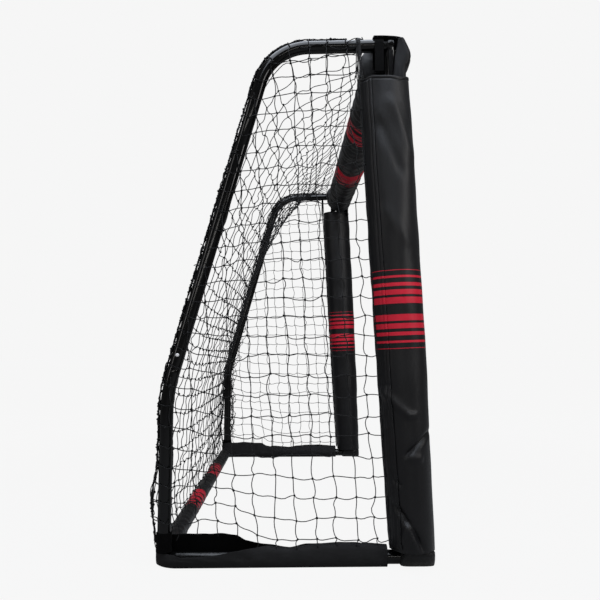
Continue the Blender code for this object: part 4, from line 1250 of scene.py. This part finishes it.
def net_piece(name, lines, knots, side_axis, seed, radius=CORD_R):
    """One mesh of cords along lines, with a small knot at each given point."""
    dice = np.random.default_rng(seed)
    points, quads, caps, uvs = [], [], [], []
    count = 0
    ring = np.arange(CORD_SIDES)
    around = np.arange(CORD_SIDES + 1) / CORD_SIDES
    for line in lines:
        line = np.maximum(line, [-9, -9, CORD_LOWEST])
        points.append(tube_rings(line, radius, side_axis, CORD_SIDES).reshape(-1, 3))
        quads.append(grid_faces(len(line), CORD_SIDES, wrap_columns=True, first=count)[:, ::-1])
        caps.append(np.stack([ring, ring[::-1] + (len(line) - 1) * CORD_SIDES]) + count)
        run = run_along(line, 0)
        corners = cell_corners(len(line) - 1, CORD_SIDES)
        pairs = [np.stack(np.broadcast_arrays(around[c], run[r]), -1) for r, c in corners]
        uvs.append(np.stack(pairs, 2).reshape(-1, 4, 2)[:, ::-1])
        count += len(line) * CORD_SIDES
    faces = [np.concatenate(quads), np.concatenate(caps)]
    if len(knots):
        spin = np.linalg.qr(dice.normal(size=(len(knots), 3, 3)))[0]
        spin *= np.sign(np.linalg.det(spin))[:, None, None]
        stretch = dice.uniform(0.8, 1.25, (len(knots), 1, 3)) * radius * KNOT_SIZE
        middles = np.maximum(knots, [-9, -9, KNOT_LOWEST])[:, None]
        points.append(((icosahedron * stretch) @ spin + middles).reshape(-1, 3))
        first = count + len(icosahedron) * np.arange(len(knots))
        faces.append((knot_faces + first[:, None, None]).reshape(-1, 3))
    piece = mesh_piece(name, np.concatenate(points), faces)
    write_map(piece, np.concatenate(uvs).reshape(-1, 2))
    piece.data.materials.append(twine_look)
    return piece


# %% [markdown]
# The side panel's knots lie on rows and columns that lean a few degrees, because the net is
# pulled towards the mouth at its foot. Near the stay the upper rows sink a little, and the
# lower rows climb over the raised hem.
# %% Places of the side panel's knots
ROW_ONE_Z = 0.985
COLUMN_ZERO_Y = 0.0094
COLUMN_STEP = 0.0385
COLUMN_LEAN = 0.052
EDGE_CORDS_Y = -0.1325
ROW_NUMBERS = range(-1, 27)
COLUMN_NUMBERS = range(-6, 8)
SHORTEST_COLUMN = 0.5
END_MARGIN = 0.08
JITTER = 0.0020
stay_line = join_path(CORNER, elbow_arc, knee_arc, FOOT_OF_STAY)[:, 1:]


def roof(y):
    """Height of the frame's line over a depth: top tube, elbow, stay and knee."""
    return np.interp(y, stay_line[:-1, 0], stay_line[:-1, 1])


def net_place(k, j):
    """Depth and height of the knot in column k, counted to the rear, and row j, counted down."""
    z0 = ROW_ONE_Z - MESH * (j - 1)
    y = COLUMN_ZERO_Y + COLUMN_STEP * k - COLUMN_LEAN * (1.05 - z0)
    to_stay = np.maximum(np.interp(-z0, -stay_line[:, 1], stay_line[:, 0]) - y, 0)
    sink = 0.0215 * np.exp(-to_stay / 0.07) * blend_step(z0, 0.40, 0.60)
    climb = 0.033 * blend_step(y, 0.035, 0.165) * (1 - blend_step(z0, 0.05, 0.25))
    middle_rows = blend_step(z0, 0.10, 0.25) * (1 - blend_step(z0, 0.36, 0.60))
    return y, z0 - sink + climb + 0.019 * blend_step(y, 0.13, 0.26) * middle_rows


def front_edge(z):
    """Depth of the panel's front edge: the sleeve's rear, or the edge cords above it."""
    depth = along_sleeve(z, SLEEVE_DEPTHS) / 2
    rise = blend_step(z, 0.90, SLEEVE_TOP)
    return np.where(z < SLEEVE_TOP, sleeve_y(z) + depth + 0.001 + 0.003 * rise, EDGE_CORDS_Y)


def inside_panel(y, z):
    """Whether a place lies between the sleeve, the roof, the stay and the hem."""
    return (z < roof(y)) & (y < STAY_Y - 0.0005) & (y > front_edge(z)) & (z > hem_top(y) - 0.004)


def crossings(fixed, along_rows):
    """Span of a row (or a column) that lies inside the panel, found on a fine scale."""
    fine = np.linspace(-7, 9, 3201) if along_rows else np.linspace(-1.5, 27, 5701)
    y, z = net_place(fine, fixed) if along_rows else net_place(fixed, fine)
    good = fine[inside_panel(y, z)]
    return (good[0], good[-1]) if len(good) else None


def stops(span):
    """Ends of a span and the whole numbers well inside it."""
    inner = np.arange(math.ceil(span[0] + END_MARGIN), math.floor(span[1] - END_MARGIN) + 1)
    return np.concatenate([[span[0]], inner, [span[1]]])


def side_panel(sign, seed):
    """Lines and knots of one side panel, and where its rows and columns meet the frame."""
    dice = np.random.default_rng(seed)
    jitter = dice.normal(0, JITTER, (40, 40, 3)) * [1.2, 1, 1]
    lines, knots, laps = [], [], []

    def place(k, j):
        k, j = np.broadcast_arrays(np.asarray(k, float), np.asarray(j, float))
        y, z = net_place(k, j)
        inward = 0.024 * blend_step(y, 0.05, 0.13) * (1 - blend_step(z, 0.06, 0.17))
        inward = inward * (1 - blend_step(y, 0.185, 0.235))
        points = np.stack([sign * (NET_X - inward), y, z], -1)
        whole = (np.abs(k - k.round()) < 1e-6) & (np.abs(j - j.round()) < 1e-6)
        shift = jitter[k.round().astype(int) + 10, j.round().astype(int) + 3]
        return points + shift * whole[..., None]

    for j in ROW_NUMBERS:
        span = crossings(float(j), True)
        if span is None:
            continue
        line = place(stops(span), j)
        knots.append(line[1:-1])
        lines.append(loose_cord(line, dice, 0.0020, 0.0010, droop=0.0018))
        laps.append(line[-1])
    tops = []
    for k in COLUMN_NUMBERS:
        span = crossings(float(k), False)
        if span is None or span[1] - span[0] < SHORTEST_COLUMN:
            continue
        line = place(k, stops(span))
        lines.append(loose_cord(line, dice, 0.0024, 0.0011))
        tops.append(line[0])
    return lines, np.concatenate(knots), laps, [p for p in tops if p[1] < ROOF_END]


ROOF_END = 0.062
PANEL_SEEDS = {-1: 101, 1: 202}
lines, knots, laps, tops = side_panel(-1, PANEL_SEEDS[-1])
print("side panel:", len(lines), "cords,", len(knots), "knots")

# %% [markdown]
# The back and the top are one sheet of net that spans the whole width. Its cross cords carry on
# from the side panels' own rows. The sheet is first bellied inwards by a measured sag, as a
# parabola from side to side. Then its knots settle: each step lets all free knots fall a little
# and pulls every cord that has grown too long back to its length.
# %% Back and top
SETTLE_STEPS = 90
FALL = 0.00005
SPEED_KEPT = 0.92
PULLS = 6
OVERSHOOT = 1.6
ACROSS = 30


def settle(points, pinned, links, rest):
    """Moves free points down, then shortens each link that is longer than its rest length."""
    points = points.copy()
    before = points.copy()
    free = ~pinned
    share = np.bincount(links.ravel(), minlength=len(points))[:, None].clip(1)
    for _ in range(SETTLE_STEPS):
        moved = points + SPEED_KEPT * (points - before)
        moved[:, 2] -= FALL
        before = points.copy()
        points[free] = moved[free]
        for _ in range(PULLS):
            gap = points[links[:, 1]] - points[links[:, 0]]
            length = np.linalg.norm(gap, axis=1, keepdims=True)
            pull = gap * (np.maximum(length - rest[:, None], 0) / np.maximum(length, 1e-9)) * 0.5
            push = np.zeros_like(points)
            np.add.at(push, links[:, 0], pull)
            np.add.at(push, links[:, 1], -pull)
            points[free] += (push * OVERSHOOT / share)[free]
        points[:, 2] = np.maximum(points[:, 2], CORD_LOWEST)
    return points


frame_run = run_along(stay_line, 0)
frame_tangent = unit(np.gradient(stay_line, frame_run, axis=0))
frame_out = np.stack([-frame_tangent[:, 1], frame_tangent[:, 0]], -1)


def at_run(s):
    """Point on the frame's line and its outward direction, at a distance from the corner."""
    y, z = (np.interp(s, frame_run, stay_line[:, k]) for k in (0, 1))
    a, b = (np.interp(s, frame_run, frame_out[:, k]) for k in (0, 1))
    return np.stack([y, z], -1), unit(np.stack([a, b], -1))


def run_of(point):
    """Distance along the frame's line of the place nearest to a (y, z) point."""
    fine = np.linspace(0, frame_run[-1], 4000)
    spots, _ = at_run(fine)
    return fine[np.argmin(((spots - point) ** 2).sum(1))]


roof_runs = sorted(run_of(p[1:]) for p in tops)
wall_runs = sorted(run_of(p[1:]) for p in laps)
wall_runs = [run for run in wall_runs if run > roof_runs[-1] + 0.018]
cross_runs = np.array([roof_runs[0] - MESH] + roof_runs + wall_runs)
print("cross cords at", cross_runs.round(3))
net_out = TUBE_R + CORD_R + 0.0004
ELBOW_RUN = run_of(ELBOW[1:])
spots, outward = at_run(cross_runs - 0.006 * (cross_runs > ELBOW_RUN + 0.03))
dice = np.random.default_rng(77)


def hang_clear(z):
    """How far the edge hangs away from the stay: only just above its foot."""
    return 0.0112 * groove(z, 0.122, 0.046)


loose = 0.0006 + 0.0014 * dice.random(len(cross_runs)) + hang_clear(spots[:, 1])
edge = spots + outward * (net_out + loose * (cross_runs > 0.3))[:, None]
edge = np.concatenate([edge, [[REAR_Y + 0.009, 0.030]]])
x = np.linspace(-HALF, HALF, ACROSS + 1)
start = np.stack(np.broadcast_arrays(x, edge[:, :1], edge[:, 1:]), -1)
rows, columns = start.shape[:2]
number = np.arange(rows * columns).reshape(rows, columns)
links_x = np.stack([number[:, :-1].ravel(), number[:, 1:].ravel()], -1)
links_s = np.stack([number[:-1].ravel(), number[1:].ravel()], -1)
links = np.concatenate([links_x, links_s])
# Sag of the roof over its depth, and of the wall over its height.
ROOF_SAG = ((CORNER_Y, 0.004), (-0.10, 0.030), (-0.05, 0.066), (0.0, 0.088), (0.08, 0.086))
WALL_SAG = (
    (0.03, 0.012), (0.12, 0.022), (0.30, 0.026), (0.50, 0.024),
    (0.70, 0.028), (0.80, 0.052), (0.95, 0.078), (1.03, 0.086),
)
sag = np.where(cross_runs < ELBOW_RUN, follow(spots[:, 0], ROOF_SAG), follow(spots[:, 1], WALL_SAG))
belly = 1 - (x / HALF) ** 2
inwards = np.concatenate([outward * -sag[:, None], [[-0.012, 0]]])
start[..., 1:] += inwards[:, None] * belly[:, None]
flat_start = start.reshape(-1, 3)
length = np.linalg.norm(flat_start[links[:, 1]] - flat_start[links[:, 0]], axis=1)
slack = 0.9975 + 0.0020 * dice.random(len(links))
slack[len(links_x) :] += 0.004 * dice.random(len(links_s))
rest = length * slack
pinned = np.zeros((rows, columns), bool)
pinned[:, [0, -1]] = True
pinned[[0, -1]] = True
settled = settle(flat_start, pinned.ravel(), links, rest).reshape(rows, columns, 3)
print("the back net sinks by at most", round(float((start - settled)[..., 2].max()), 3), "m")

# %% [markdown]
# Each cross cord goes on round the stay or over the top tube to the side panel's row, in a
# loose half loop. Short ends of twine stick out beside the knots there. The net's selvedge is
# drawn together behind the tubes in a bundle of cords, and the spare net beside the far stay
# hangs in loose curls. Both follow the frame's line with a smooth random wander.
# %% Laps over the tubes
WHISKERS = 26
GATHERED_CORDS = 9


def lap(side_point, edge_point, centre, outward, sign, swell, steps=7):
    """Half loop from the outer side of a tube to its back, round its centre."""
    angle = np.linspace(0, math.pi / 2, steps)[:, None]
    outer = np.array([sign, 0.0, 0.0])
    back = np.array([0.0, *outward])
    middle = np.array([sign * HALF, *centre])
    radius = net_out + swell * np.sin(2 * angle)
    loop = middle + radius * (np.cos(angle) * outer + np.sin(angle) * back)
    share = np.linspace(0, 1, steps)[:, None]
    loop += (side_point - loop[0]) * (1 - share) + (edge_point - loop[-1]) * share
    return loop


def whiskers(places, outward, seed, count):
    """Short straight ends of twine that leave their places in seeded directions."""
    dice = np.random.default_rng(seed)
    pick = dice.integers(0, len(places), count)
    ends = []
    t = np.linspace(0, 1, 4)[:, None]
    for n in pick:
        way = unit(outward[n] + dice.normal(0, 0.6, 3))
        reach = dice.uniform(0.003, 0.009)
        bend = dice.normal(0, 0.15, 3)
        ends.append(places[n] + (way * t + bend * t**2) * reach)
    return ends


def wander(s, dice, lengths, count=5):
    """Smooth random curve of about unit height: a mean of seeded sines."""
    total = 0
    for _ in range(count):
        total = total + np.sin(2 * math.pi * s / dice.uniform(*lengths) + dice.uniform(0, 6.3))
    return total / math.sqrt(count / 2)


def gathered(sign, seed, count):
    """Cords of the net's edge, drawn together behind the top tube and the stay."""
    dice = np.random.default_rng(seed)
    cords, beads = [], []
    s = np.linspace(0.09, frame_run[-1] - 0.030, 240)
    spots, out = at_run(s)
    for _ in range(count):
        turn = math.radians(92) + 0.16 * wander(s, dice, (0.05, 0.2))
        clear = hang_clear(spots[:, 1]) * dice.uniform(0.80, 1.0)
        r = net_out + 0.0009 + 0.0011 * np.abs(wander(s, dice, (0.015, 0.06))) + clear
        cord = np.stack([np.full_like(s, sign * HALF), *spots.T], -1)
        cord += r[:, None] * np.cos(turn)[:, None] * [sign, 0, 0]
        cord[:, 1:] += (r * np.sin(turn))[:, None] * out
        cords.append(cord)
        beads.append(cord[dice.integers(3, 9) :: dice.integers(9, 14)])
    return cords, np.concatenate(beads)


def tangle(sign, seed, count, low, high):
    """Loose curly cords beside the stay, where net is bunched between two heights."""
    dice = np.random.default_rng(seed)
    cords, beads = [], []
    for _ in range(count):
        z = np.linspace(dice.uniform(low, low + 0.08), dice.uniform(high - 0.2, high), 90)
        y = np.interp(z, stay_line[::-1, 1], stay_line[::-1, 0])
        across = dice.uniform(-0.026, 0.012) + 0.0055 * wander(z, dice, (0.025, 0.09))
        off = dice.uniform(0.001, 0.008) + 0.002 * wander(z, dice, (0.03, 0.09))
        rise = 0.004 * wander(z, dice, (0.02, 0.05))
        cord = np.stack([sign * (HALF + net_out + np.abs(off)), y + across, z + rise], -1)
        cords.append(cord)
        beads.append(cord[dice.integers(2, 8) :: dice.integers(7, 12)])
    return cords, np.concatenate(beads)


front = np.linspace(float(hem_top(HEM_FRONT)) - 0.004, 1.045, 60)
edge_y = front_edge(front) + 0.0015
for side, sign in SIDES:
    cords, knots, laps, tops = side_panel(sign, PANEL_SEEDS[sign])
    ends = {run_of(p[1:]): p for p in laps + tops}
    runs = np.array(sorted(ends))
    places, outs = [], []
    for s, back_point in zip(cross_runs, settled[:, (0, -1)[sign > 0]]):
        side_point = ends[runs[np.argmin(np.abs(runs - s))]]
        centre, out = at_run(s)
        cords.append(lap(side_point, back_point, centre, out, sign, dice.uniform(0.0005, 0.0035)))
        places += [side_point, back_point]
        outs += [np.array([sign * 0.4, *out])] * 2
    for shift in (0.0, 0.0018):
        sway = 0.0008 * np.sin(front * 90 + shift * 900)
        edge_x = np.full_like(front, sign * (NET_X - shift))
        cords.append(np.stack([edge_x, edge_y + sway + shift, front], -1))
    cords += whiskers(places, outs, 300 + sign, WHISKERS)
    drawn, beads = gathered(sign, 700 + sign, GATHERED_CORDS)
    cords += drawn
    knots = np.concatenate([knots, beads])
    if sign > 0:
        curls, beads = tangle(sign, 720, GATHERED_CORDS, 0.06, 0.60)
        cords += curls
        knots = np.concatenate([knots, beads])
    panel_piece = net_piece("side_net_cords_" + side, cords, knots, (1, 0.02, 0.03), 400 + sign)
    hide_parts("side_net_" + side)

cords = [loose_cord(row, dice, 0.0022, 0.0013, droop=0.0016) for row in settled]
cords += [loose_cord(settled[:, c], dice, 0.0024, 0.0015, droop=0.0008) for c in range(columns)]
back = net_piece("back_net_cords", cords, settled[1:-1, 1:-1].reshape(-1, 3), (0.3, 0.9, 0.3), 500)
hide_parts("top_net", "back_net", "lower_back_net")
print("net made:", len(back.data.polygons), "faces in the back")

# %% [markdown]
# Where the net's front edge meets the top tube, the edge cords are gathered and looped over
# the tube, then led down to the sleeve.
# %% Gathered edge cords
TIE_Y = -0.1320
TIE_Z = CORNER_Z - (TIE_Y - CORNER_Y) * math.tan(TOP_FALL)
TIE_DROP = 0.077
TIE_CORD_R = 0.0011
angle = np.linspace(math.radians(145), 0, 10)
t = np.concatenate([np.zeros(10), np.linspace(0.1, 1, 9)])
angle = np.concatenate([angle, np.zeros(9)])
for side, sign in SIDES:
    cords = []
    dice = np.random.default_rng(600 + sign)
    for _ in range(6):
        spread = dice.normal(0, 0.0022)
        r = TUBE_R + 0.0015 + dice.uniform(0, 0.0015)
        x = sign * (HALF + r * np.cos(angle))
        y = TIE_Y + spread * (1 + t) - 0.002 * t
        cords.append(smooth_line(np.stack([x, y, TIE_Z + r * np.sin(angle) - TIE_DROP * t], -1), 40))
    tie = net_piece("edge_cord_" + side, cords, np.zeros((0, 3)), (0.2, 0.9, 0.1), 610, TIE_CORD_R)
    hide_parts("net_tie_" + side)
print("edge cords tied at", TIE_Y)

# %% [markdown]
# Last, the size of the dressed goal, without the floor, is measured and printed.
# %% Sizes and finish
low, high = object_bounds()
print("visual box:", [round(value, 4) for value in (*low, *high)])
